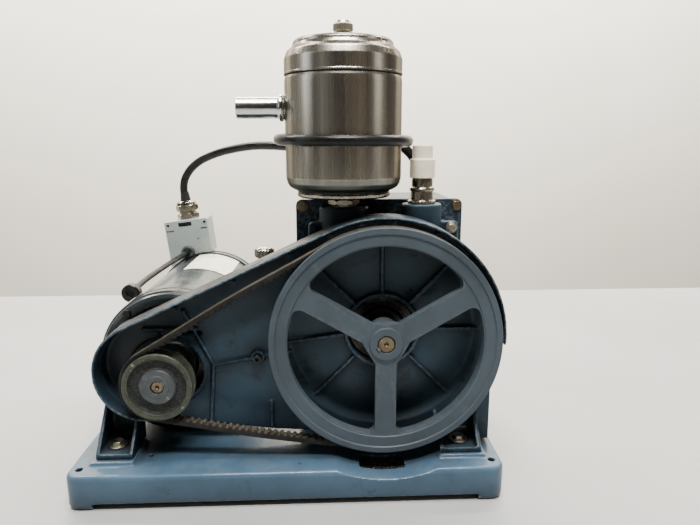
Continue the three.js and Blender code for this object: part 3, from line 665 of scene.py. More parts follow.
pulley_metal = pulley_look()
zinc = metal("zinc", (0.44, 0.41, 0.34), 0.3, (0.14, 0.1, 0.05), 0.6)
nickel = metal("nickel", (0.33, 0.3, 0.25), 0.2, (0.17, 0.12, 0.07), 0.6)
brass = metal("brass", (0.19, 0.15, 0.1), 0.34, (0.1, 0.065, 0.035), 0.7)
steel = metal("steel", (0.5, 0.5, 0.49), 0.34, (0.14, 0.11, 0.08), 0.4)
filter_steel = filter_look()
pipe_steel = metal("pipe_steel", (0.66, 0.67, 0.68), 0.16, (0.2, 0.18, 0.16), 0.2)
iron = metal("iron", (0.16, 0.16, 0.155), 0.5, (0.05, 0.035, 0.025), 0.5, 250, 0.7)
black_iron = metal("black_iron", (0.035, 0.036, 0.037), 0.3, (0.015, 0.013, 0.01), 0.5, 250, 0.5)
black_rubber = moulded(
    "black_rubber", (0.01, 0.01, 0.011), 0.46, 700, 0.15, 0.2, 0.3, (0.04, 0.037, 0.03), specular=0.3
)
cord_rubber = moulded(
    "cord_rubber", (0.006, 0.0065, 0.0065), 0.3, 900, 0.08, 0.2, 0.2, (0.03, 0.029, 0.027), specular=0.2
)
grommet_rubber = moulded(
    "grommet_rubber", (0.06, 0.068, 0.07), 0.4, 700, 0.1, 0.15, 0.25, (0.03, 0.03, 0.03), specular=0.35
)
cap_plastic = moulded("cap_plastic", (0.93, 0.83, 0.66), 0.38, 350, 0.06, 0.05, 0.1, (0.4, 0.3, 0.2))
box_plastic = moulded("box_plastic", (0.27, 0.31, 0.31), 0.42, 650, 0.08, 0.06, 0.12, (0.1, 0.11, 0.11))
fan_plastic = moulded("fan_plastic", (0.03, 0.03, 0.033), 0.4)
laminate = moulded("vane_laminate", (0.2, 0.1, 0.045), 0.5, 300, 0.2, 0.3)
felt = moulded("felt", (0.62, 0.57, 0.46), 0.95, 1500, 0.9, 0.15, 0.3)


# ------------------------------------------------------------------ mains cord
CORD_ROUTE = [
    (-287.1, 348.4, 297.4), (-289, 347.5, 312.9), (-285.8, 344.2, 328.7), (-276, 339.5, 343.9),
    (-259.5, 332.4, 357.4), (-235.7, 319.1, 367.7), (-212, 302.7, 374.4), (-169.9, 268.7, 381.2),
    (-139.8, 241.9, 381.8), (-109.6, 214.5, 380.3), (-78.3, 187, 379.4), (-43.9, 161.5, 379.5),
    (-11.9, 141.3, 381), (12.4, 122.5, 383.5), (26.8, 94.7, 385.6), (28.2, 63.4, 387), (16.2, 34.5, 387.5),
    (-9.1, 12.2, 387.5), (-43, 3.7, 387.5), (-76.9, 12.2, 387.7), (-102.2, 34.5, 388.2),
    (-114.2, 63.4, 389), (-112.8, 94.7, 390.2), (-98.4, 122.5, 391.8), (-73.6, 141.5, 393.5),
    (-45.5, 148.3, 394.8), (-18, 145.5, 394.3), (6, 139.8, 391.6), (26, 138.6, 384.5),
    (41, 142.8, 373.5), (52.5, 152.5, 359.5), (61.5, 166, 345), (67, 183, 333.5), (70.5, 203, 328),
    (74, 224, 326.5), (76.5, 244, 318), (78.5, 262, 302), (80, 278, 275), (80, 288, 240), (80, 295, 200),
    (80, 299, 150), (80, 301, 104), (80, 301.8, 80), (80, 302.6, 60), (80, 306.6, 38), (80, 317.3, 20.8),
    (80, 333.5, 10.1), (80, 354, 6.3),
]
COIL_R, COIL_STEP = 80, 12.3
REST_Z = CORD_R + 0.3
RISEN_R = 62
PLUG_AT = (-4, 462, 25.2)
FLAT_TURNS, RISE_END = 1.75, 2.25


def ease(t):
    t = max(0.0, min(1.0, t))
    return t * t * (3 - 2 * t)


def coil_points():
    """Flat turns winding inwards, then the end rising outwards over them to the plug."""
    made = []
    count = int(RISE_END * 48)
    for i in range(1, count + 1):
        turned = RISE_END * i / count
        r = COIL_R - COIL_STEP * min(turned, 2)
        rise = ease((turned - FLAT_TURNS) / (RISE_END - FLAT_TURNS))
        r += (RISEN_R - (COIL_R - COIL_STEP * 2)) * ease((turned - 2) / (RISE_END - 2))
        made.append((*polar(r, 360 * turned, *COIL), REST_Z + (PLUG_AT[2] - REST_Z) * rise))
    return made


landing = [(80, 372, REST_Z), (80, 388, REST_Z), (80, 400, REST_Z)]
hanging = curve_through(CORD_ROUTE + landing, 10)
coiled = curve_through([landing[-1], *coil_points()], 2)
cord_line = [*hanging, *coiled[1:], Vector((PLUG_AT[0] - 2, PLUG_AT[1], PLUG_AT[2]))]

cord = piece(
    "mains_cord", tube(cord_line, CORD_R, 20), "frame", cord_rubber,
    ("power_cord", "cord_coil"), weighted=False,
)


# ------------------------------------------------------------------ plug
def plug_shape():
    """A moulded plug: a waisted body with grip ribs and a tapered strain relief behind it."""
    stations = [
        (0, 7.2, 7.2), (-5, 8.6, 8.4), (-11, 11.6, 10), (-20, 12.6, 10.6), (-29, 12, 10.3),
        (-38, 13.4, 11.4), (-44, 14, 12.5), (-47.5, 13.8, 12.3), (-48, 13, 11.6),
    ]
    bm = bmesh.new()
    rings = []
    for x, wide, high in stations:
        squareness = 0.55 if x < -6 else 0.9
        verts = []
        for c, s in circle(48):
            y = math.copysign(abs(c) ** squareness, c) * wide
            z = math.copysign(abs(s) ** squareness, s) * high
            verts.append(bm.verts.new((x, y, z)))
        rings.append(verts)
    body = capped(bm, rings)
    m = body.modifiers.new("smooth", "SUBSURF")
    m.levels = 2
    settle(body)
    ribs = []
    for x in range(-35, -15, 4):
        for y in (-11.4, 11.4):
            ribs.append(bevel(block(x, x + 1.6, y - 1.4, y + 1.4, -7, 7), 0.4, 2))
    return plus(body, *ribs)


plug = piece(
    "plug_body", move(plug_shape(), *PLUG_AT), "frame", cord_rubber, ("plug",)
)
prongs = []
for y in (-6.3, 6.3):
    prongs.append(bevel(block(-65, -46, y - 0.8, y + 0.8, -3.2, 3.2), 0.35, 2))
earth = lathe([(0, 46), (2.4, 46), (2.4, 65.5), (1.5, 67), (0, 67)], "X", sides=32)
turn(earth, "Z", 180)
prongs.append(move(earth, 0, 0, -7.4))
plug_prongs = piece(
    "plug_prongs", move(together(*prongs), *PLUG_AT), "frame", nickel
)


# ------------------------------------------------------------------ base
def base_shape():
    """A hollow tray standing on its four corners, with two pads and a trough for the flywheel."""
    wall, foot, skirt = 8, 28, 7
    ceiling = BASE_TOP - wall
    solid = plate("Z", BASE_LEFT, BASE_RIGHT, BASE_FRONT, BASE_BACK, 15, 0, BASE_TOP, 4.5, segments=4)
    space = plus(
        plate("Z", BASE_LEFT + wall, BASE_RIGHT - wall, BASE_FRONT + wall, BASE_BACK - wall, 7, -1, ceiling),
        block(BASE_LEFT - 1, BASE_RIGHT + 1, BASE_FRONT - 1, BASE_BACK + 1, -9, skirt),
    )
    for x in (BASE_LEFT, BASE_RIGHT - foot):
        for y in (BASE_FRONT, BASE_BACK - foot):
            corner = block(x - 1, x + foot + 1, y - 1, y + foot + 1, -60, ceiling - 1)
            minus(space, bevel(corner, 3, 3, 60))
    shell = minus(solid, space)
    scoop_bed = block(-75, 75, BASE_FRONT + 2, 60, 18, BASE_TOP - 0.5)
    pads = []
    for x0, x1 in ((-325, -278), (60, 112)):
        pads.append(bevel(block(x0, x1, -3, 52, BASE_TOP - 4, PAD_TOP), 1.5, 3, 60))
    plus(shell, scoop_bed, *pads)
    scoop = drill("Y", 144, BASE_FRONT - 9, 58, WHEEL_AT, 160)
    slot = plate("Z", -29, 22, -3, 24, 4, 10, 45)
    holes = []
    for x in (BASE_LEFT + 12, BASE_RIGHT - 12):
        for y in (BASE_FRONT + 17, BASE_BACK - 17):
            holes.append(drill("Z", 3.8, -1, 50, (x, y, 0)))
    for x, y, r in ((-264, 18.5, 2.7), (-302, 24, 4.6), (86, 20, 4.6)):
        holes.append(drill("Z", r, -1, 50, (x, y, 0)))
    minus(shell, scoop, slot, *holes)
    return cast(shell, 1.25, 4, 0.5)


piece("base_casting", base_shape(), "frame", base_paint, ("base",), weighted=False)


def dust_look():
    """Damp black belt dust."""
    look = Look("belt_dust")
    grains = look.cells(420)
    mottle = look.spread(look.noise(300, 6), 0.35, 0.7)
    color = look.blend(mottle, (0.006, 0.006, 0.007), (0.035, 0.033, 0.03))
    look.bump(grains, 1.0, 0.0012)
    look.bump(look.noise(900, 4), 0.6, 0.0006)
    return look.done(color, look.spread(look.noise(200, 6), 0.4, 0.65, 0.2, 0.75))


def heap_shape():
    """Dust heaped in the base's slot, a little higher at the slot's edge."""
    columns, rows = 104, 56
    x0, x1, y0, y1 = -28.4, 21.4, -2.4, 23.4
    floor_z, heap_z, rim_high, rim_wide = 17, 21.5, 1.5, 6
    bm = bmesh.new()
    grid = []
    for j in range(rows + 1):
        line = []
        for i in range(columns + 1):
            x, y = x0 + (x1 - x0) * i / columns, y0 + (y1 - y0) * j / rows
            edge = min(x - x0, x1 - x, y - y0, y1 - y)
            lumps = noise.noise((x * 0.35, y * 0.35, 3)) * 2.2 + noise.noise((x * 1.1, y * 1.1, 9)) * 1.3
            grit = abs(noise.noise((x * 2.3, y * 2.3, 17))) * 1.6
            line.append(bm.verts.new((x, y, heap_z + lumps + grit + rim_high * ease(1 - edge / rim_wide))))
        grid.append(line)
    skin(bm, grid, wrap=False)
    made = bmesh.ops.extrude_face_region(bm, geom=list(bm.faces))
    for item in made["geom"]:
        if isinstance(item, bmesh.types.BMVert):
            item.co.z = floor_z
    return shape(bm)


piece("belt_dust_heap", heap_shape(), "frame", dust_look(), weighted=False)


# ------------------------------------------------------------------ belt guard
ARC_BIG, ARC_SMALL = (0, SHAFT_Z, 135.85), (-265.8, 137.5, 56)
FLANGE = 2.8
PLATE_FRONT, PLATE_BACK = 50, 56


def tangent_angle():
    """The angle at which the guard's two arcs touch their common straight edge."""
    dx, dz = ARC_SMALL[0] - ARC_BIG[0], ARC_SMALL[1] - ARC_BIG[1]
    between = math.acos((ARC_BIG[2] - ARC_SMALL[2]) / math.hypot(dx, dz))
    return math.degrees(math.atan2(dz, dx) - between) + 360


BEND = tangent_angle()


def guard_edge(inset, start):
    end = 281
    big = arc(ARC_BIG[0], ARC_BIG[1], ARC_BIG[2] - inset, start, BEND, 96)
    return big + arc(ARC_SMALL[0], ARC_SMALL[1], ARC_SMALL[2] - inset, BEND, end, 48)


def guard_band(outside, inside, start, low, high):
    """A band along the guard's edge, between two insets."""
    return prism("Y", guard_edge(outside, start) + guard_edge(inside, start)[::-1], low, high)


def motor_opening(grow, corner, low, high):
    x, z = 40 + grow, 36 + grow
    return plate("Y", MOTOR_X - x, MOTOR_X + x, MOTOR_Z - z, MOTOR_Z + z, corner, low, high, steps=16)


def gusset(x, z, angle):
    """A rib that ties the guard's flange to its web, facing outwards at the angle."""
    outline = [(PLATE_FRONT + 1, 0), (PLATE_FRONT + 1, -9), (24, -1), (24, 0)]
    return move(turn(prism("X", outline, -1.5, 1.5), "Y", 90 - angle), x, 0, z)


def bar(x0, z0, x1, z1, y0, y1, thick=4):
    """A straight rib between two points of the X-Z plane."""
    length = math.hypot(x1 - x0, z1 - z0)
    made = plate("Y", 0, length, -thick / 2, thick / 2, 1, y0, y1, steps=3)
    turn(made, "Y", -math.degrees(math.atan2(z1 - z0, x1 - x0)))
    return move(made, x0, 0, z0)


def guard_shape():
    foot = PAD_TOP + 0.3
    side = 124.5
    back_of_rib = PLATE_FRONT + 1
    outline = guard_edge(0, -math.degrees(math.acos(side / ARC_BIG[2])))
    outline += [(-255, 74), (-201, 62), (-130, 52), (-20, 45), (60, 45), (60, foot), (side, foot)]
    web = minus(
        prism("Y", outline, PLATE_FRONT, PLATE_BACK),
        drill("Y", 118, 40, 70, WHEEL_AT, 160),
    )
    slot = plate("Y", MOTOR_X - 8, MOTOR_X + 40, MOTOR_Z + 41.5, MOTOR_Z + 47, 2.4, 40, 70, steps=6)
    minus(web, motor_opening(0, 35, 40, 70), slot)
    lip = minus(guard_band(0, FLANGE, -3.5, 15, PLATE_BACK), guard_band(-1, 1.5, -5, 20, 25))
    root = guard_band(0, FLANGE + 1, -3.5, 36, PLATE_BACK)
    dish = lathe(
        [(40, 50, 1), (44, 50, 1), (44, 58, 2), (108, 58, 5), (116, 50, 4), (121, 50), (121, 56), (119, 56),
         (111, 64, 5), (40, 64, 1)],
        "Y", WHEEL_AT, 192,
    )
    parts = [web, lip, root, dish]
    for angle in (0, 45, 90, 135, 187, 225, 270, 315):
        rib = plate("Y", 42, 114, -1.7, 1.7, 0.5, 52.6, 60, steps=3)
        parts.append(move(turn(rib, "Y", -angle), 0, 0, SHAFT_Z))
    for x0, z0, x1, z1 in (
        (-195, 135, -144, 143.6), (-195, 135, -227, 201), (-195, 135, -201, 63), (-130, 54, -130, 88),
        (-144, 143.6, -104, 150.4), (MOTOR_X - 26, MOTOR_Z + 50.5, MOTOR_X + 36, MOTOR_Z + 50.5),
    ):
        parts.append(bar(x0, z0, x1, z1, 46.5, back_of_rib, 3.6))
    parts.append(ring("Y", 0, 8, 44, back_of_rib, (-144, 0, 143.6), 48))
    parts.append(minus(motor_opening(3.5, 38, 48, back_of_rib), motor_opening(0, 35, 40, 70)))
    for angle in (40, 62, 84, 101, 118):
        parts.append(gusset(*polar(ARC_BIG[2] - FLANGE + 1.2, angle, 0, SHAFT_Z), angle))
    on_big = Vector(polar(ARC_BIG[2] - 2.65, BEND, *ARC_BIG[:2]))
    on_small = Vector(polar(ARC_SMALL[2] - 2.8, BEND, *ARC_SMALL[:2]))
    for share in (0.22, 0.5, 0.78):
        parts.append(gusset(*on_big.lerp(on_small, share), BEND))

    def cheek(x0, x1, front, high):
        outline = [(front, foot), (back_of_rib, foot), (back_of_rib, high), (front, foot + 5.5)]
        return prism("X", outline, x0, x1)

    parts += [
        block(-320, -280, PLATE_FRONT, PLATE_BACK, foot, 115), block(-320, -280, 3, 51, foot, 49),
        cheek(-320, -316, 3, 104), cheek(-284, -280, 3, 96),
        block(62, 109, 1, 51, foot, 49), cheek(62, 66, 1, 72), cheek(104, 109, 1, 96),
        block(109, side, 31, PLATE_BACK, foot, 108),
    ]
    made = cast(together(*parts), 1.15, 4, 0.5)
    holes = [drill("Z", 4.4, 30, 60, at) for at in ((-302, 24, 0), (86, 20, 0))]
    return minus(made, *holes, drill("Y", 2.9, 40, 60, (-144, 0, 143.6)))


piece(
    "belt_guard", guard_shape(), "frame", guard_paint, ("guard_casting",), weighted=False
)


def washered_bolt(name, node, x, y, z):
    head = hex_head("Z", 6.6, 2.2, 6.4, (x, y, z))
    washer = ring("Z", 4.6, 10.5, 0.2, 1.9, (x, y, z), 64, 0.4)
    spring = ring("Z", 4.3, 7.4, 1.4, 2.6, (x, y, z), 64, 0.3)
    shank = ring("Z", 0, 4, -14, 3, (x, y, z), 40, 0.5)
    return piece(name, plus(head, shank, spring, washer), "frame", zinc, (node,))


washered_bolt("guard_foot_bolt_left", "guard_bolt_left", -302, 24, 49.4)
washered_bolt("guard_foot_bolt_right", "guard_bolt_right", 86, 20, 49.4)


def socket_screw(x, y, z, r, high, socket, shank, shank_length):
    """A socket-headed screw whose head stands forward of y."""
    profile = [
        (0, -high, 0), (r - 0.4, -high), (r, -high + 0.7), (r, 0), (shank, 0), (shank, shank_length),
        (0, shank_length),
    ]
    body = lathe(profile, "Y", (x, y, z), 64, 0.35)
    hole = prism("Y", hexagon(socket), -high - 1, -high * 0.35)
    return minus(body, move(hole, x, y, z))


piece(
    "guard_cap_screw", socket_screw(-144, 43.7, 143.6, 5.4, 5.5, 2.6, 2.5, 11), "frame", black_iron,
    ("guard_screw",),
)


# ------------------------------------------------------------------ flywheel, pump shaft and seal
def groove(outer, width):
    """The outside of a pulley's rim, with its V groove."""
    floor, top, low = outer - 13, 6.7, 3.7
    return [
        (outer, 0, 1.2), (outer, BELT_Y - top, 0.6), (floor, BELT_Y - low, 0.8),
        (floor, BELT_Y + low, 0.8), (outer, BELT_Y + top, 0.6), (outer, width, 1.2),
    ]


def window(middle):
    """A cutter for one opening between two spokes: a sector with rounded corners."""
    lean, spoke, outer, corner, heel_reach, heel = 60, 11.5, 107, 9, 28.5, 4
    reach = outer - corner
    turned = lean - math.degrees(math.asin((spoke + corner) / reach))
    heel_turned = lean - math.degrees(math.asin((spoke + heel) / heel_reach))
    x, z = polar(reach, turned)
    heel_x, heel_z = polar(heel_reach, heel_turned)
    outline = [
        *arc(x, -z, corner, -lean - 90, -turned, 10),
        *arc(0, 0, outer, 1 - turned, turned - 1, 40),
        *arc(x, z, corner, turned, lean + 90, 10),
        *arc(heel_x, heel_z, heel, lean + 90, 180 + heel_turned, 6),
        *arc(heel_x, -heel_z, heel, 180 - heel_turned, 270 - lean, 6),
    ]
    return move(turn(prism("Y", outline, -5, 30), "Y", -middle), 0, 0, SHAFT_Z)


def key_bar(near, far, front, back, half, angle, at):
    """A bar lying along a shaft, seen at the angle from its axis."""
    return move(turn(block(near, far, front, back, -half, half), "Y", -angle), *at)


WHEEL_KEY, PULLEY_KEY = 214, 38


def flywheel_shape():
    body = lathe(
        [*groove(WHEEL_R, 21), (110, 21, 2), (107.8, 18, 2), (107.8, 14.8, 1.5), (106, 14.5, 0.5),
         (24, 14.5, 3), (20.5, 19, 3), (19, 26), (19, 42, 1.5), (9.7, 42, 0.6), (9.7, 0.2, 0.8),
         (18, 0.2, 1.2),
         (18.6, 2.2, 0.8), (23, 3, 2), (106, 3, 0.5), (107.8, 2.7, 1), (108.6, 1.5, 0.8), (119.4, 1.5, 0.3),
         (120, 0.9, 0.3), (120.6, 0, 0.3)],
        "Y", WHEEL_AT, 288,
    )
    minus(body, window(90), window(210), window(330))
    bevel(body, 1.6, 3, 62)
    return minus(body, key_bar(0, 12.4, -1, 32, 2.6, WHEEL_KEY, WHEEL_AT))


piece("flywheel_casting", flywheel_shape(), "drive", wheel_paint, ("flywheel",), smooth=32)


def shaft_shape():
    made = lathe(
        [(0, 4), (1.6, 2.4), (2.6, 1), (8.4, 1), (9.4, 2), (9.4, 178), (8.8, 178.6), (0, 178.6)],
        "Y", WHEEL_AT, 96, 0.25,
    )
    return minus(made, key_bar(7, 12, 0, 32, 2.6, WHEEL_KEY, WHEEL_AT))


piece("pump_main_shaft", shaft_shape(), "drive", brass, ("pump_shaft",))
wheel_key = bevel(key_bar(7.4, 11.8, 1.2, 30, 2.3, WHEEL_KEY, WHEEL_AT), 0.5, 2)
piece("flywheel_drive_key", wheel_key, "drive", iron, ("flywheel_key",))

piece(
    "seal_housing",
    lathe(
        [(13.1, 57, 0.5), (17, 57, 0.8), (17, 52.5, 0.8), (19, 52, 0.6), (25.5, 52, 1), (26, 55, 1),
         (28, 58, 1.5), (31, 58.6, 0.4), (31.5, 59.4, 0.3), (34, 59.4, 0.3), (34.5, 58.8, 0.3),
         (38.5, 59, 0.8), (38.5, 64, 0.4), (13.1, 64, 0.3)],
        "Y", WHEEL_AT, 128,
    ),
    "frame", black_iron, ("shaft_seal_housing",),
)
piece(
    "shaft_lip_seal",
    lathe([(9.7, 50), (10.6, 50), (11.4, 52), (12.8, 52), (12.8, 63.5), (9.7, 63.5), (9.7, 60), (10.4, 56)],
          "Y", WHEEL_AT, 96, 0.3),
    "frame", black_rubber, ("shaft_seal",),
)


# ------------------------------------------------------------------ pump body and oil case
def body_shape():
    """A flange and a casting behind it, with a boss on top for each of the two ports."""
    front = plate("Y", -84, 88, 62, 297.5, 6, 64.4, 74, 1.5)
    middle = plate("Y", -76, 80, 62, 297, 6, 73, 94.8)
    intake_boss = plate("Z", 24, 70, 58, 94.6, 17, 240, 317, 2.5, 12, segments=4)
    exhaust_boss = plate("Z", -71.5, -14.5, 58, 94.6, 17, 240, 314, 2.5, 12, segments=4)
    for boss in (intake_boss, exhaust_boss):
        minus(boss, block(-90, 90, 50, 64.4, 200, 290))
    made = cast(together(front, middle, intake_boss, exhaust_boss), 1.2, 5, 0.5)
    tools = [
        drill("Z", 7, 250, 320, INTAKE, 48), drill("Z", 8, 250, 320, FILTER, 48),
        drill("Y", 12, 60, 100, WHEEL_AT, 64), drill("Y", 6, 75, 100, (47, 0, 256)),
        drill("Y", 6, 75, 100, (-43, 0, 256)), drill("Y", 4, 55, 72, (-72, 0, 289)),
    ]
    return minus(made, *tools)


piece("pump_casting", body_shape(), "frame", casting_paint, ("pump_body",), weighted=False)


case_plate = plate("Y", -99, 99, 39.5, 320, 7, 95.3, 105, 1.2)
minus(
    case_plate,
    drill("Y", 12, 90, 110, WHEEL_AT, 64), drill("Y", 6, 90, 110, (47, 0, 256)),
    drill("Y", 6, 90, 110, (-43, 0, 256)), drill("Y", 3, 90, 110, (-91.5, 0, 312.5), 32),
    drill("Y", 3, 90, 110, (91.5, 0, 312.5), 32),
)
piece("case_end_plate", case_plate, "frame", case_paint, ("case_front_plate",))
gasket = minus(
    plate("Y", -97.4, 97.4, 40.6, 318.4, 9, 105.2, 106.8),
    plate("Y", -84, 84, 54, 305, 6, 100, 110),
)
piece("case_seal_gasket", bevel(gasket, 0.3, 2, 60), "frame", black_rubber, ("case_gasket",))


GLASS_AT, DRAIN_AT, BALLAST_AT = (0, 165, 150), (0, 178, 60), (0, 135, 232)


def case_shape():
    shell = plate("Y", -97.5, 97.5, 39.5, 318.5, 12, 107, 210, 4, 12, segments=5)
    inside = plate("Y", -90.5, 90.5, 47, 311.5, 8, 100, 203)
    minus(
        shell, inside, drill("X", 11, 85, 105, GLASS_AT, 64), drill("X", 4, 85, 105, DRAIN_AT, 32),
        drill("X", 5, -105, -85, BALLAST_AT, 32),
    )
    # Recessed bands leave cast ribs standing across the back face.
    for z0, z1 in ((52, 100), (110, 150), (160, 200), (210, 250), (260, 304)):
        minus(shell, plate("Y", -84, 84, z0, z1, 6, 208, 212, 0.8, segments=2))
    return shell


piece("oil_case_shell", case_shape(), "frame", case_paint, ("oil_case",), smooth=32)
for side, node, x in (("left", "case_screw_1", -91.5), ("right", "case_screw_2", 91.5)):
    at = (x, 95, 312.5)
    head = hex_head("Y", 5.6, -3.8, -0.2, at, top=False, bottom=True)
    washer = ring("Y", 3.2, 6.6, -0.9, 0.15, at, 48, 0.2)
    shank = ring("Y", 0, 2.5, -1, 9, at, 32, 0.3)
    piece(f"case_corner_screw_{side}", plus(shank, head, washer), "frame", brass, (node,))
plug_screw = hex_head("Y", 5.2, -2.8, 0.4, (-5, 95, 311), top=False, bottom=True)
piece("case_top_screw", plug_screw, "frame", case_paint)
body_screw = minus(
    plus(
        ring("Y", 0, 4.6, -3.2, 0.4, sides=48, radius=0.9),
        ring("Y", 0, 6.4, -0.9, 0.3, sides=48, radius=0.3),
    ),
    plate("Y", -5, 5, -0.5, 0.5, 0.2, -4.2, -2.0, steps=2),
)
piece("pump_body_screw", move(body_screw, 80, 64.2, 290), "frame", zinc)


def glass_look():
    """Oil behind a sight glass."""
    look = Look("sight_glass")
    look.shader.inputs["Transmission Weight"].default_value = 0.85
    look.shader.inputs["IOR"].default_value = 1.5
    color = look.blend(look.noise(60, 3), (0.62, 0.6, 0.42), (0.78, 0.74, 0.55))
    return look.done(color, look.spread(look.noise(200, 4), 0.3, 0.7, 0.03, 0.12))


lens = lathe([(0, 98.4), (10.9, 98.4), (10.9, 101.2), (6, 102.2, 3), (0, 102.4)], "X", GLASS_AT, 96)
piece("sight_glass_lens", lens, "frame", glass_look(), ("sight_glass",))
glass_ring = [(11, 97.8), (17, 97.8, 0.5), (17, 101.5, 1), (13.2, 104.5, 1), (11, 104.5, 0.5)]
piece("sight_glass_ring", lathe(glass_ring, "X", GLASS_AT, 96), "frame", brass)


def drain_shape():
    barrel = lathe(
        [(0, 97.8), (9, 97.8), (9, 99), (6.5, 99.6), (6.5, 118), (8, 119), (8, 121), (7.3, 121.8), (8, 122.6),
         (8, 125), (7, 126), (4, 126), (4, 112), (0, 112)],
        "X", DRAIN_AT, 64, 0.3,
    )
    nut = hex_head("X", 10, 98.4, 104.5, DRAIN_AT, True, True)
    stem = ring("Z", 0, 4.5, 62, 70, (111, 178, 0), 48, 0.4)
    return plus(barrel, nut, stem)


piece("drain_cock", drain_shape(), "frame", brass, ("drain_valve",))
lever = plus(
    ring("Z", 0, 4.2, 70.4, 75.8, (111, 178, 0), 48, 0.5),
    bevel(plate("Z", 107.3, 114.7, 175, 204, 3.4, 72.4, 76.4), 0.8, 3, 50),
)
piece("drain_lever", lever, "drain_handle", zinc, ("drain_handle",))


def elbow_shape():
    """A pipe out of the case's side that bends upwards, with a nut and two collars."""
    y, z = BALLAST_AT[1:]
    straight = [(x, z) for x in (-97.8, *range(-100, -130, -3))]
    bend = [polar(12, -90 - a, -130, z + 12) for a in range(9, 91, 9)]
    pipe = tube([(x, y, height) for x, height in straight + bend], 6.6, 40)
    return plus(
        pipe,
        hex_head("X", 10, -106, -97.9, BALLAST_AT, True, True),
        ring("X", 0, 8.2, -121, -113, BALLAST_AT, 64, 0.8),
        ring("Z", 0, 8.4, 238.5, 244, (-142, y, 0), 64, 0.8),
    )


piece("gas_ballast_pipe", elbow_shape(), "frame", zinc, ("gas_ballast_elbow",))


def knurled(axis, at, r, low, high, teeth, depth, dome):
    """A round knob with a knurled band, a chamfer below and a dome above."""
    plain = (0.5, 0.5, 0.5, 0.5)
    toothed = (0, 0.75, 1, 0.75)
    rows = [
        (low, r - 1.2, plain), (low + 0.9, r - 0.3, toothed), (low + 1.2, r, toothed),
        (high - dome - 1.2, r, toothed), (high - dome - 0.8, r - 0.3, toothed), (high - dome, r - 1, plain),
        (high - dome * 0.5, r * 0.8, plain), (high - dome * 0.15, r * 0.5, plain), (high, r * 0.22, plain),
    ]
    bm = bmesh.new()
    rings = []
    for h, outer, bites in rows:
        verts = []
        for k, (c, s) in enumerate(circle(teeth * 4)):
            reach = outer - depth * bites[k % 4]
            verts.append(bm.verts.new((reach * c, reach * s, h)))
        rings.append(verts)
    made = capped(bm, rings)
    made.data.transform(Matrix.Translation(at) @ AXES[axis])
    return made


dial = knurled("Z", (-142, 135, 244.3), 12.35, 0, 14, 44, 0.5, 3.6)
piece("gas_ballast_dial", dial, "ballast_knob", nickel, ("gas_ballast_knob",))


# ------------------------------------------------------------------ intake
piece(
    "intake_pipe",
    lathe(
        [(8, 317.3), (15.6, 317.3), (16, 318), (16, 319.8), (15.3, 320.6), (13, 321.2), (13, 330.8, 0.3),
         (14, 331.6, 0.3), (14.4, 332.8, 0.4), (14.4, 334.2, 0.4), (13.8, 335.2, 0.4), (12.2, 336.2),
         (12.2, 344.8, 0.3), (11, 345.4, 0.3), (11, 358), (8, 358)],
        "Z", INTAKE, 128, 0.35,
    ),
    "frame", nickel, ("intake_nipple",),
)
piece(
    "intake_dust_cap",
    lathe(
        [(11.4, 346), (14.1, 346), (14.4, 346.6), (14.4, 366.2, 0.6), (13.8, 367.4, 0.5), (11.6, 367.6, 0.3),
         (11.5, 368, 0.3), (11.5, 381.6, 0.8), (10.6, 383, 0.8), (0, 383), (0, 366), (11.4, 366)],
        "Z", INTAKE, 128, 0.35,
    ),
    "intake_cap", cap_plastic, ("intake_cap",),
)

# ------------------------------------------------------------------ exhaust filter
nipple = plus(
    lathe([(8, 314.3), (13, 314.3), (13, 318), (12, 318.4), (12, 330), (8, 330)], "Z", FILTER, 96, 0.3),
    minus(hex_head("Z", 18, 315.6, 322.8, FILTER, True, True), drill("Z", 10, 310, 330, FILTER, 64)),
)
piece("exhaust_pipe_nut", nipple, "frame", zinc, ("exhaust_nipple",))

can = lathe(
    [(12.4, 325.6, 0.3), (50.5, 325.6, 1.2), (52.6, 327, 1.2), (52.8, 330, 1), (51.2, 331.6, 1.2),
     (52.5, 333.4, 1.5), (56.6, 334.4, 3), (60.8, 337, 4), (63.6, 341.2, 5), (65, 347.6, 7), (65, 449, 3),
     (64.7, 453.2, 1.5), (63.8, 456, 0.6), (62.9, 456.5, 0.3), (62.9, 350, 7), (58.6, 339.6, 6),
     (49, 328.4, 2), (12.4, 328.4, 0.4)],
    "Z", FILTER, 224,
)
OUTLET_AT = (FILTER[0], FILTER[1], 423.5)
minus(can, drill("X", 12.4, -76, -55, OUTLET_AT, 64))
piece("filter_can", can, "frame", filter_steel, ("filter_body",), smooth=28)
lid_gasket = ring("Z", 62.4, 64.4, 456.55, 457.15, FILTER, 160, 0.15)
piece("filter_lid_gasket", lid_gasket, "frame", black_rubber)
pipe = lathe(
    [(10.4, -118), (11.7, -118), (12, -117.4), (12, -72.6, 0.3), (12.8, -72.2, 0.3), (13.2, -71, 0.4),
     (15, -70.4, 0.6), (15, -68, 0.6), (14.2, -66.4, 0.6), (12.6, -65.2, 0.8), (12, -64), (12, -58),
     (10.4, -58)],
    "X", OUTLET_AT, 96, 0.25,
)
piece("filter_outlet_pipe", pipe, "frame", pipe_steel, ("filter_outlet",))
lid = lathe(
    [(65, 457.2, 0.3), (65.2, 457.6, 0.2), (65.2, 459, 0.4), (64.9, 459.6, 0.4), (64.9, 474, 6),
     (62, 481.5, 5), (56.4, 486, 2.5), (55.2, 488.8, 1.2), (54.9, 491, 1.2), (52.5, 493.6, 3), (40, 496, 6),
     (4.2, 497.4, 0.3), (4.2, 495, 0.3), (39, 493.7, 5), (50.8, 491.2, 2), (52.6, 488, 1), (54.6, 484.4, 2),
     (60.5, 479.6, 4),
     (62.8, 473, 5), (62.8, 457.2, 0.3)],
    "Z", FILTER, 224,
)
piece("filter_top", lid, "filter_lid", filter_steel, ("filter_lid",), smooth=28)
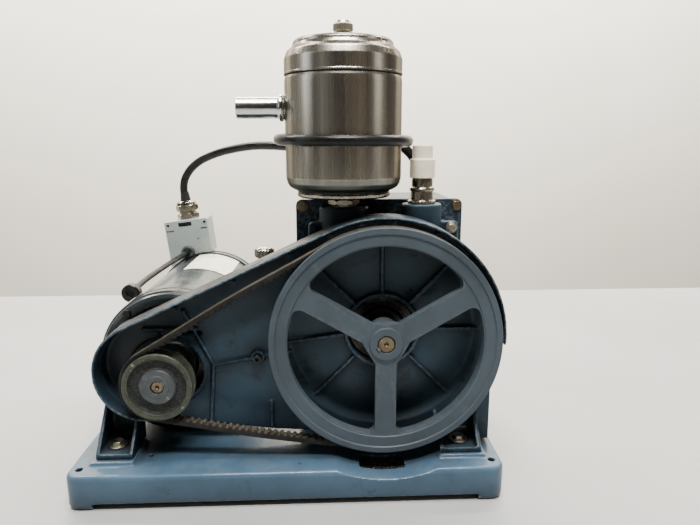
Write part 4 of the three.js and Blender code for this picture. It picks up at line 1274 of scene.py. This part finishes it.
rod = lathe([(0, 334), (3.2, 334), (3.6, 334.6), (3.6, 511), (3.1, 512), (0, 512)], "Z", FILTER, 48, 0.2)
piece("filter_tie_rod", rod, "frame", zinc, ("filter_rod",))
knob = knurled("Z", (FILTER[0], FILTER[1], 503.4), 11, 0, 13.2, 36, 0.7, 5)
neck = ring("Z", 0, 7, 498, 504, FILTER, 64, 0.5)
knob_bore = drill("Z", 3.9, 490, 512.5, FILTER, 48)
piece("filter_knob_nut", minus(plus(knob, neck), knob_bore), "filter_knob", zinc, ("filter_knob",))


def pleated(inner, outer, low, high, pleats):
    """Folded filter paper, open down the middle."""
    thick = 0.8
    bm = bmesh.new()
    walls = []
    for offset, h in ((0, low), (0, high), (thick, high), (thick, low)):
        verts = []
        for k, (c, s) in enumerate(circle(pleats * 2)):
            r = (outer if k % 2 else inner) - offset
            verts.append(bm.verts.new((r * c, r * s, h)))
        walls.append(verts)
    skin(bm, walls, closed=True)
    return shape(bm)


element = move(pleated(27, 49, 348, 447, 60), *FILTER)
caps = [ring("Z", 24, 50, low, high, FILTER, 96, 0.6) for low, high in ((345, 348.2), (446.8, 450))]
piece(
    "filter_pleats", together(element, *caps), "frame", felt, ("filter_element",), smooth=20,
    weighted=False,
)


# ------------------------------------------------------------------ motor
BOLT_R, BOLT_ANGLES = 80, (129, 51, 231, 309)


def on_motor(r, angle):
    """A place at a distance and angle from the motor's axis, seen from the front."""
    x, z = polar(r, angle, MOTOR_X, MOTOR_Z)
    return (x, 0, z)


def bell(mouth, face, inward):
    """One of the motor's end bells: face is its outer end and mouth where it takes the shell."""
    depth = inward * (mouth - face)
    profile = [
        (16.6, -4, 0.5), (26, -4, 1), (28, -2, 1), (28.5, 4, 1.5), (55, 6, 1.5), (58, 0.6, 1.5), (63, 0, 1.2),
        (64, 1.4, 0.6), (72, 1.6, 0.6), (73, 0.2, 0.6), (80.5, 0.2, 2), (84.5, 2.6, 1.5), (86, 5.6, 1.5),
        (88.1, 7.6, 1.2), (88.3, 13, 1), (87.4, 14.2, 0.6), (87.4, 19.4, 0.6), (88.3, 20.6, 0.8),
        (88.3, depth - 1.2, 0.8), (87.6, depth, 0.5), (83, depth, 0.3), (83, 10, 2), (34, 12, 2), (30, 18, 1),
        (16.6, 18, 0.5),
    ]
    made = lathe([(r, face + inward * y, corner) for r, y, corner in profile], "Y", MOTOR_AT, 192)
    tools = [drill("Y", 3.1, face - 8, face + 8, on_motor(BOLT_R, a), 32) for a in BOLT_ANGLES]
    for angle in (144, 36, 216, 324):
        tools.append(drill("Y", 2.6, face - 3.2, face + 3.2, on_motor(76.5, angle), 32))
    return minus(made, *tools)


front_bell = bell(112, 72, 1)
piece("motor_bell_front", front_bell, "frame", motor_paint, ("motor_front_bell",), smooth=30)
rear_bell = bell(318, 346, -1)
for angle in range(0, 360, 36):
    vent = plate("Y", 34, 51, -3, 3, 2.8, 325, 350, steps=5)
    minus(rear_bell, move(turn(vent, "Y", angle), *MOTOR_AT))
piece("motor_bell_rear", rear_bell, "frame", motor_paint, ("motor_rear_bell",), smooth=30)
bolts = [hex_head("Y", 5.2, 69.4, 72.4, on_motor(BOLT_R, a), False, True) for a in BOLT_ANGLES]
piece("motor_bell_bolts", together(*bolts), "frame", black_iron)

shell = lathe(
    [(83, 112.3), (85.2, 112.3), (86, 113.2), (86, 120, 0.4), (85.6, 120.6, 0.4), (85.6, 309.4, 0.4),
     (86, 310, 0.4), (86, 316.8), (85.2, 317.7), (83, 317.7)],
    "Y", MOTOR_AT, 256, 0.3,
)
piece("motor_frame_shell", shell, "frame", motor_paint, ("motor_shell",), smooth=28)


def label_shape():
    """A thin blank plate wrapped over the top of the motor's shell."""
    front, long, left, sweep = 209, 106, 100.5, 42.5
    columns, lines = 40, 24
    bm = bmesh.new()
    grid = []
    for j in range(lines + 1):
        line = []
        for i in range(columns + 1):
            lift = 86.05 + 0.08 * noise.noise((i * 0.4, j * 0.4, 1))
            place = Vector(on_motor(lift, left - sweep * i / columns))
            line.append(bm.verts.new(place + Vector((0, front + long * j / lines, 0))))
        grid.append(line)
    skin(bm, grid, wrap=False)
    made = shape(bm)
    m = made.modifiers.new("thick", "SOLIDIFY")
    m.thickness, m.offset = 0.35, 1
    return settle(made)


def label_look():
    """Yellowed sheet with grey stains."""
    look = Look("label")
    base = look.blend(look.spread(look.noise(50, 7), 0.35, 0.7), (0.78, 0.74, 0.58), (0.86, 0.84, 0.7))
    stain = look.times(look.spread(look.noise(28, 9, 0.7), 0.5, 0.62), 0.45)
    base = look.blend(stain, base, (0.42, 0.4, 0.32))
    look.bump(look.noise(300, 3), 0.1, 0.0002)
    return look.done(base, look.spread(look.noise(60, 5), 0.3, 0.7, 0.25, 0.5))


piece("motor_label", label_shape(), "frame", label_look(), weighted=False)

spindle = lathe(
    [(0, 5), (1.4, 3.4), (2.3, 2), (6, 2), (6.8, 2.8), (6.8, 60), (8, 60.6), (8, 345.4), (7.4, 346),
     (0, 346)],
    "Y", MOTOR_AT, 96, 0.25,
)
minus(spindle, key_bar(5, 9, 0, 34, 2.4, PULLEY_KEY, MOTOR_AT))
piece("motor_spindle", spindle, "motor_drive", brass, ("motor_shaft",))


def pulley_shape():
    body = lathe(
        [*groove(PULLEY_R, 19.8), (26, 19.8, 1), (22, 18, 1), (15, 20.5, 2), (15, 36, 1), (7.1, 36, 0.4),
         (7.1, 0.4, 0.6), (12.6, 0.4, 0.3), (13, 0.8, 0.3), (18.4, 0.8, 0.4), (19.2, 1.4, 0.5),
         (20.3, 3.2, 1), (21.5, 4.6, 1), (29.6, 4.8, 1.2), (31.2, 3, 1), (31.8, 0.4, 0.6), (32.4, 0.1, 0.2),
         (33.4, 0.4, 0.2),
         (34, 0, 0.2)],
        "Y", MOTOR_AT, 224,
    )
    minus(body, key_bar(0, 9.6, -1, 37, 2.4, PULLEY_KEY, MOTOR_AT))
    return minus(body, drill("X", 2.2, 0, 20, (MOTOR_X, 28, MOTOR_Z), 32))


piece("motor_v_pulley", pulley_shape(), "motor_drive", pulley_metal, ("motor_pulley",), smooth=30)
pulley_key = bevel(key_bar(5.6, 9.2, 0.6, 34, 2.1, PULLEY_KEY, MOTOR_AT), 0.4, 2)
piece("motor_pulley_key", pulley_key, "motor_drive", iron)


def cradle_shape():
    foot = plate("Z", -80, 80, 160, 290, 8, 39.5, 45.2, 1.2)
    walls = [
        block(-58, 58, 175, 181, 44, 70), block(-58, 58, 269, 275, 44, 70), block(-52, -44, 178, 272, 44, 70),
        block(44, 52, 178, 272, 44, 70), block(-4, 4, 178, 272, 44, 60),
    ]
    saddle = prism("Y", arc(0, MOTOR_Z, 86.9, 222, 318, 40) + arc(0, MOTOR_Z, 91.5, 318, 222, 40), 175, 275)
    whole = cast(together(foot, *walls, saddle), 1.3, 4, 0.5)
    minus(whole, drill("Y", 86.7, 150, 300, (0, 0, MOTOR_Z), 160))
    return move(whole, MOTOR_X)


piece("motor_mount", cradle_shape(), "frame", motor_paint, ("motor_cradle",), weighted=False)
feet = []
for x in (MOTOR_X - 68, MOTOR_X + 68):
    for y in (172, 278):
        feet.append(hex_head("Z", 6.4, 46.4, 51.6, (x, y, 0)))
        feet.append(ring("Z", 0, 9, 45.0, 46.6, (x, y, 0), 48, 0.3))
piece("motor_mount_bolts", together(*feet), "frame", zinc)

# ------------------------------------------------------------------ switch box, gland and lead
BOX_HALF, BOX_LOW, BOX_HIGH, BOX_FRONT, BOX_BACK = 33.5, 84, 165.9, 322, 366
BOX_CORNER, BOX_WALL, BOX_FLOOR, BOX_SPLIT = 2.6, 3, 115, BOX_FRONT + 7.8
GLAND_AT = (0, 348.4, 0)
SCREW_X, SCREW_Z = (-28.2, 28.8), 159.8


def tilted(made):
    turn(made, "Y", -BOX_TILT)
    return move(made, BOX_X, 0, BOX_Z)


def seated(made):
    """Tilts a part of the box into place and cuts it to the motor's rear bell."""
    return minus(tilted(made), drill("Y", 88.8, 300, 380, MOTOR_AT, 200))


def box_part(front, back):
    return plate("Y", -BOX_HALF, BOX_HALF, BOX_LOW, BOX_HIGH, BOX_CORNER, front, back, 1, 6)


def box_shape():
    x, z, y = BOX_HALF - BOX_WALL, BOX_HIGH - BOX_WALL, BOX_BACK - BOX_WALL
    inside = block(-x, x, BOX_FRONT, y, BOX_FLOOR, z)
    return seated(minus(box_part(BOX_SPLIT + 0.2, BOX_BACK), inside, drill("Z", 6, 155, 175, GLAND_AT)))


def cover_shape():
    """The box's front with a window for the switch, two screw holes and three moulded marks."""
    tools = [drill("Y", 2.2, 320, 328, (x, 0, SCREW_Z), 32) for x in SCREW_X]
    for x0, x1, z0, z1, corner, depth in (
        (-12, 8.8, 156, 162.6, 0.8, 4.4), (-31.6, -20, 149.6, 151.8, 0.8, 2.6),
        (21.6, 31.6, 149.6, 151.8, 0.8, 2.6), (13, 18.4, 134, 135.6, 0.7, 1.4),
    ):
        tools.append(plate("Y", x0, x1, z0, z1, corner, BOX_FRONT - 2, BOX_FRONT + depth, steps=4))
    return seated(minus(box_part(BOX_FRONT, BOX_SPLIT - 0.2), *tools))


piece("switch_box_body", box_shape(), "frame", box_plastic, ("switch_box",))
piece("switch_box_cover", cover_shape(), "frame", box_plastic, ("box_cover",))
screws = []
for x in SCREW_X:
    head = ring("Y", 0, 1.95, 325, 327.6, (x, 0, SCREW_Z), 32, 0.3)
    screws.append(minus(head, block(x - 1.5, x + 1.5, 323, 325.8, 159.5, 160.1)))
screws.append(plate("Y", -11.6, 8.4, 156.3, 162.3, 0.6, 325.2, 326.3, steps=4))
piece("box_cover_screws", tilted(together(*screws)), "frame", black_iron)
gland = plus(
    hex_head("Z", 17.2, 166.3, 174.6, GLAND_AT, True, False),
    lathe(
        [(6.3, 166.3), (13.7, 166.3), (13.7, 176), (12.6, 176.6), (12.6, 177.4), (14.2, 177.8), (14.2, 179),
         (6.3, 179)],
        "Z", GLAND_AT, 96, 0.3,
    ),
    minus(hex_head("Z", 17.8, 178, 188.4, GLAND_AT, True, True), drill("Z", 9, 176, 192, GLAND_AT, 64)),
    lathe(
        [(6.3, 179), (9.6, 179), (15.6, 188, 1), (15, 191.8, 1.4), (12, 194.2, 1.3), (9, 194.8, 0.6),
         (6.3, 194.8)],
        "Z", GLAND_AT, 96, 0.4,
    ),
)
piece("cord_gland_nut", tilted(gland), "frame", nickel, ("cord_gland",))
boot = lathe(
    [(6.05, 181), (7.6, 181), (8.2, 193), (7.6, 198), (6.9, 204, 0.6), (6.4, 208, 0.2), (6.05, 208)],
    "Z", GLAND_AT, 64, 0.3,
)
piece("cord_gland_seal", tilted(boot), "frame", black_rubber)

BUSHING = (-300, 96, 208)
bush = lathe(
    [(4.4, 0), (10, 0), (11, 1), (11, 11, 1), (10, 12, 0.6), (6.4, 12.3, 0.4), (6.2, 17, 0.4), (4.4, 17)],
    "Y", BUSHING, 96, 0.4,
)
plug_disc = ring("Y", 0, 4.8, 1.4, 9, BUSHING, 48, 0.4)
bush = minus(plus(bush, plug_disc), drill("Y", 88.9, -5, 130, MOTOR_AT, 200))
piece("lead_entry_bushing", bush, "frame", black_iron, ("lead_bushing",))
LEAD_ROUTE = [
    (-300, 110.2, 208.1), (-300.2, 116, 208.4), (-300, 142, 210.5), (-293.6, 212, 214.1),
    (-284.5, 281.3, 217.2), (-281.9, 320.4, 216.4),
]
lead_line = curve_through(LEAD_ROUTE, 14)
lead = piece(
    "motor_lead_cable", tube(lead_line, 3.75, 28), "frame", cord_rubber, ("motor_lead",),
    weighted=False,
)
grommet = lathe(
    [(3.9, -1.2), (6.2, -1.2), (7, -2.6, 0.5), (8.4, -3, 0.6), (10.4, -2, 0.8), (11, 0.2), (11, 0.8),
     (3.9, 0.8)],
    "Y", (-281.9, 321, 216.2), 96, 0.3,
)
grommet = minus(grommet, drill("Y", 88.8, 300, 380, MOTOR_AT, 200))
piece("lead_grommet", grommet, "frame", grommet_rubber)


# ------------------------------------------------------------------ belt
BELT_PROUD = 4.2
BELT_BOW = 2.2


def belt_line():
    """Evenly spaced points round the two pulleys, with the outward direction at each."""
    r1, r2 = WHEEL_R + 0.3, PULLEY_R + BELT_PROUD
    heading = math.atan2(MOTOR_Z - SHAFT_Z, MOTOR_X) % math.tau
    half = math.acos((r1 - r2) / math.hypot(MOTOR_X, MOTOR_Z - SHAFT_Z))
    big_from, big_to = heading + half - math.tau, heading - half
    small_from, small_to = heading - half, heading + half
    span = math.sqrt(MOTOR_X**2 + (MOTOR_Z - SHAFT_Z) ** 2 - (r1 - r2) ** 2)
    parts = [r1 * (big_to - big_from), span, r2 * (small_to - small_from), span]
    whole = sum(parts)

    def run(start, end, t, a):
        """A point on a straight run, bowed outwards."""
        bow = BELT_BOW * math.sin(math.pi * t) ** 2
        x, z = start[0] + (end[0] - start[0]) * t, start[1] + (end[1] - start[1]) * t
        return (x + bow * math.cos(a), z + bow * math.sin(a), a)

    def at(s):
        s %= whole
        if s < parts[0]:
            a = big_from + s / r1
            return (r1 * math.cos(a), SHAFT_Z + r1 * math.sin(a), a)
        s -= parts[0]
        if s < parts[1]:
            a = big_to
            start = (r1 * math.cos(a), SHAFT_Z + r1 * math.sin(a))
            return run(start, (MOTOR_X + r2 * math.cos(a), MOTOR_Z + r2 * math.sin(a)), s / span, a)
        s -= parts[1]
        if s < parts[2]:
            a = small_from + s / r2
            return (MOTOR_X + r2 * math.cos(a), MOTOR_Z + r2 * math.sin(a), a)
        s -= parts[2]
        a = small_to
        start = (MOTOR_X + r2 * math.cos(a), MOTOR_Z + r2 * math.sin(a))
        return run(start, (r1 * math.cos(a), SHAFT_Z + r1 * math.sin(a)), s / span, a)

    return whole, at


def belt_shape():
    whole, at = belt_line()
    cogs = round(whole / 7.2)
    per = 10
    wave = (0, 0, 0, 0.15, 0.85, 1, 1, 1, 0.85, 0.15)
    bm = bmesh.new()
    rings = []
    for i in range(cogs * per):
        x, z, a = at(whole * i / (cogs * per))
        deep = 5.4 + 2.5 * wave[i % per]
        side = 4.35 + (6.2 - 4.35) * (1 - deep / 8)
        section = [
            (-5.5, 0), (5.5, 0), (6.1, -0.5), (6.15, -1.2), (side + 0.1, -deep + 0.7), (side - 0.5, -deep),
            (-side + 0.5, -deep), (-side - 0.1, -deep + 0.7), (-6.15, -1.2), (-6.1, -0.5),
        ]
        verts = [bm.verts.new((x + d * math.cos(a), BELT_Y + y, z + d * math.sin(a))) for y, d in section]
        rings.append(verts)
    skin(bm, rings, closed=True)
    return shape(bm)


def belt_look():
    """Black rubber sides with worn fabric along the belt's back and cogs."""
    look = Look("belt_rubber", specular=0.3)
    outside = look.spread(look.maths("ABSOLUTE", look.axis_of_normal("Y")), 0.4, 0.75, 1, 0)
    rubber = look.blend(
        look.spread(look.noise(50, 6), 0.35, 0.7), (0.004, 0.004, 0.004), (0.012, 0.012, 0.011)
    )
    fabric = look.blend(
        look.spread(look.noise(160, 7, 0.65), 0.35, 0.65), (0.03, 0.025, 0.018), (0.085, 0.072, 0.052)
    )
    base = look.blend(outside, rubber, fabric)
    look.bump(look.noise(900, 2, 0.5), 0.3, 0.0003)
    return look.done(base, look.spread(look.noise(80, 5), 0.3, 0.7, 0.5, 0.75))


piece(
    "cogged_belt", belt_shape(), "frame", belt_look(), ("v_belt",), smooth=30, weighted=False
)


# ------------------------------------------------------------------ inner parts that keep their CAD meshes
INNER_LOOKS = {
    "front_stator": iron, "rear_stator": iron, "centre_plate": iron, "end_plate": iron,
    "front_rotor": steel, "rear_rotor": steel, "front_vane_1": laminate, "front_vane_2": laminate,
    "rear_vane_1": laminate, "rear_vane_2": laminate, "motor_stator": iron, "motor_rotor": steel,
    "motor_front_bearing": steel, "motor_rear_bearing": steel, "motor_fan": fan_plastic,
}
for node, material in INNER_LOOKS.items():
    inner = frame["nodes"][node]
    inner.data.materials.clear()
    inner.data.materials.append(material)


# ------------------------------------------------------------------ floor, wall and light
def stage_piece(name, made, material):
    made.name = made.data.name = name
    made.data.materials.append(material)
    return made


def floor_look():
    look = Look("table_top", specular=0.3)
    mottle = look.spread(look.noise(2.2, 6), 0.3, 0.7)
    color = look.blend(mottle, (0.37, 0.38, 0.375), (0.42, 0.43, 0.425))
    return look.done(color, look.spread(look.noise(9, 6), 0.3, 0.7, 0.42, 0.55))


def wall_look():
    look = Look("wall", specular=0.2)
    mottle = look.spread(look.noise(1.6, 6), 0.3, 0.7)
    return look.done(look.blend(mottle, (0.86, 0.82, 0.73), (0.9, 0.86, 0.78)), 0.85)


FLOOR_BACK, WALL_FRONT = 0.72, 2.02
stage_piece("table", block(-3, 3, -3, FLOOR_BACK, -0.03, -0.0004), floor_look())
stage_piece("backdrop", block(-5, 5, WALL_FRONT, WALL_FRONT + 0.05, -1.5, 3), wall_look())

# A dim room round the object: a grey ceiling over walls with lighter and darker bands for metal to
# mirror.
world = bpy.data.worlds.new("studio")
bpy.context.scene.world = world
world.use_nodes = True
sky = world.node_tree


def sky_node(kind, **fields):
    node = sky.nodes.new(kind)
    for key, value in fields.items():
        setattr(node, key, value)
    return node


direction = sky_node("ShaderNodeSeparateXYZ")
sky.links.new(sky_node("ShaderNodeTexCoord").outputs["Generated"], direction.inputs[0])
azimuth = sky_node("ShaderNodeMath", operation="ARCTAN2")
sky.links.new(direction.outputs["X"], azimuth.inputs[0])
sky.links.new(direction.outputs["Y"], azimuth.inputs[1])
around = sky_node("ShaderNodeMapRange")
around.inputs["From Min"].default_value = -math.pi
around.inputs["From Max"].default_value = math.pi
sky.links.new(azimuth.outputs[0], around.inputs["Value"])
walls = sky_node("ShaderNodeValToRGB")
walls.color_ramp.interpolation = "EASE"
# Shares of a turn from the front, round by the left and back to the front.
WALL_TONES = (
    (0.0, (0.1, 0.085, 0.07)), (0.05, (0.12, 0.11, 0.09)), (0.095, (0.56, 0.54, 0.5)),
    (0.125, (0.42, 0.41, 0.38)), (0.163, (0.11, 0.11, 0.1)), (0.213, (0.4, 0.36, 0.3)),
    (0.3, (0.5, 0.5, 0.47)), (0.5, (0.6, 0.58, 0.54)), (0.7, (0.42, 0.4, 0.36)), (0.76, (0.26, 0.23, 0.19)),
    (0.815, (0.4, 0.37, 0.32)), (0.855, (0.11, 0.1, 0.08)), (0.94, (0.52, 0.42, 0.31)),
    (0.98, (0.16, 0.135, 0.11)), (1.0, (0.1, 0.085, 0.07)),
)
stops = walls.color_ramp.elements
for place, tone in WALL_TONES[1:-1]:
    stops.new(place).color = (*tone, 1)
stops[0].color = (*WALL_TONES[0][1], 1)
stops[-1].color = (*WALL_TONES[-1][1], 1)
sky.links.new(around.outputs[0], walls.inputs[0])
overhead = sky_node("ShaderNodeMapRange", interpolation_type="SMOOTHSTEP")
overhead.inputs["From Min"].default_value = 0.35
overhead.inputs["From Max"].default_value = 0.8
sky.links.new(direction.outputs["Z"], overhead.inputs["Value"])
room = sky_node("ShaderNodeMix", data_type="RGBA")
sky.links.new(overhead.outputs[0], room.inputs[0])
sky.links.new(walls.outputs[0], room.inputs[6])
room.inputs[7].default_value = (0.34, 0.33, 0.31, 1)
background = sky.nodes["Background"]
sky.links.new(room.outputs[2], background.inputs["Color"])
background.inputs["Strength"].default_value = 0.47


def lamp(name, place, target, size, power, color):
    data = bpy.data.lights.new(name, "AREA")
    data.shape, data.size, data.size_y = "RECTANGLE", size[0], size[1]
    data.energy, data.color = power, color
    made = bpy.data.objects.new(name, data)
    bpy.context.scene.collection.objects.link(made)
    made.location = place
    made.rotation_euler = (Vector(target) - Vector(place)).to_track_quat("-Z", "Y").to_euler()


lamp("ceiling_front", (0.1, -0.95, 2.0), (0, 0, 0.2), (1.1, 0.25), 64, (1, 0.97, 0.92))
lamp("ceiling_near", (0.1, -0.25, 2.0), (0, 0.1, 0.2), (1.2, 0.25), 34, (1, 0.97, 0.92))
lamp("left_window", (-1.9, -0.6, 1.1), (0, 0, 0.25), (0.7, 1.3), 6.5, (0.93, 0.97, 1))
lamp("right_fill", (1.9, -0.9, 1.0), (0, 0, 0.25), (0.4, 1.2), 3, (1, 0.95, 0.88))
lamp("wall_wash", (0, 1.15, 2.2), (0, 2.0, 0.3), (4.6, 0.5), 330, (1, 0.96, 0.88))
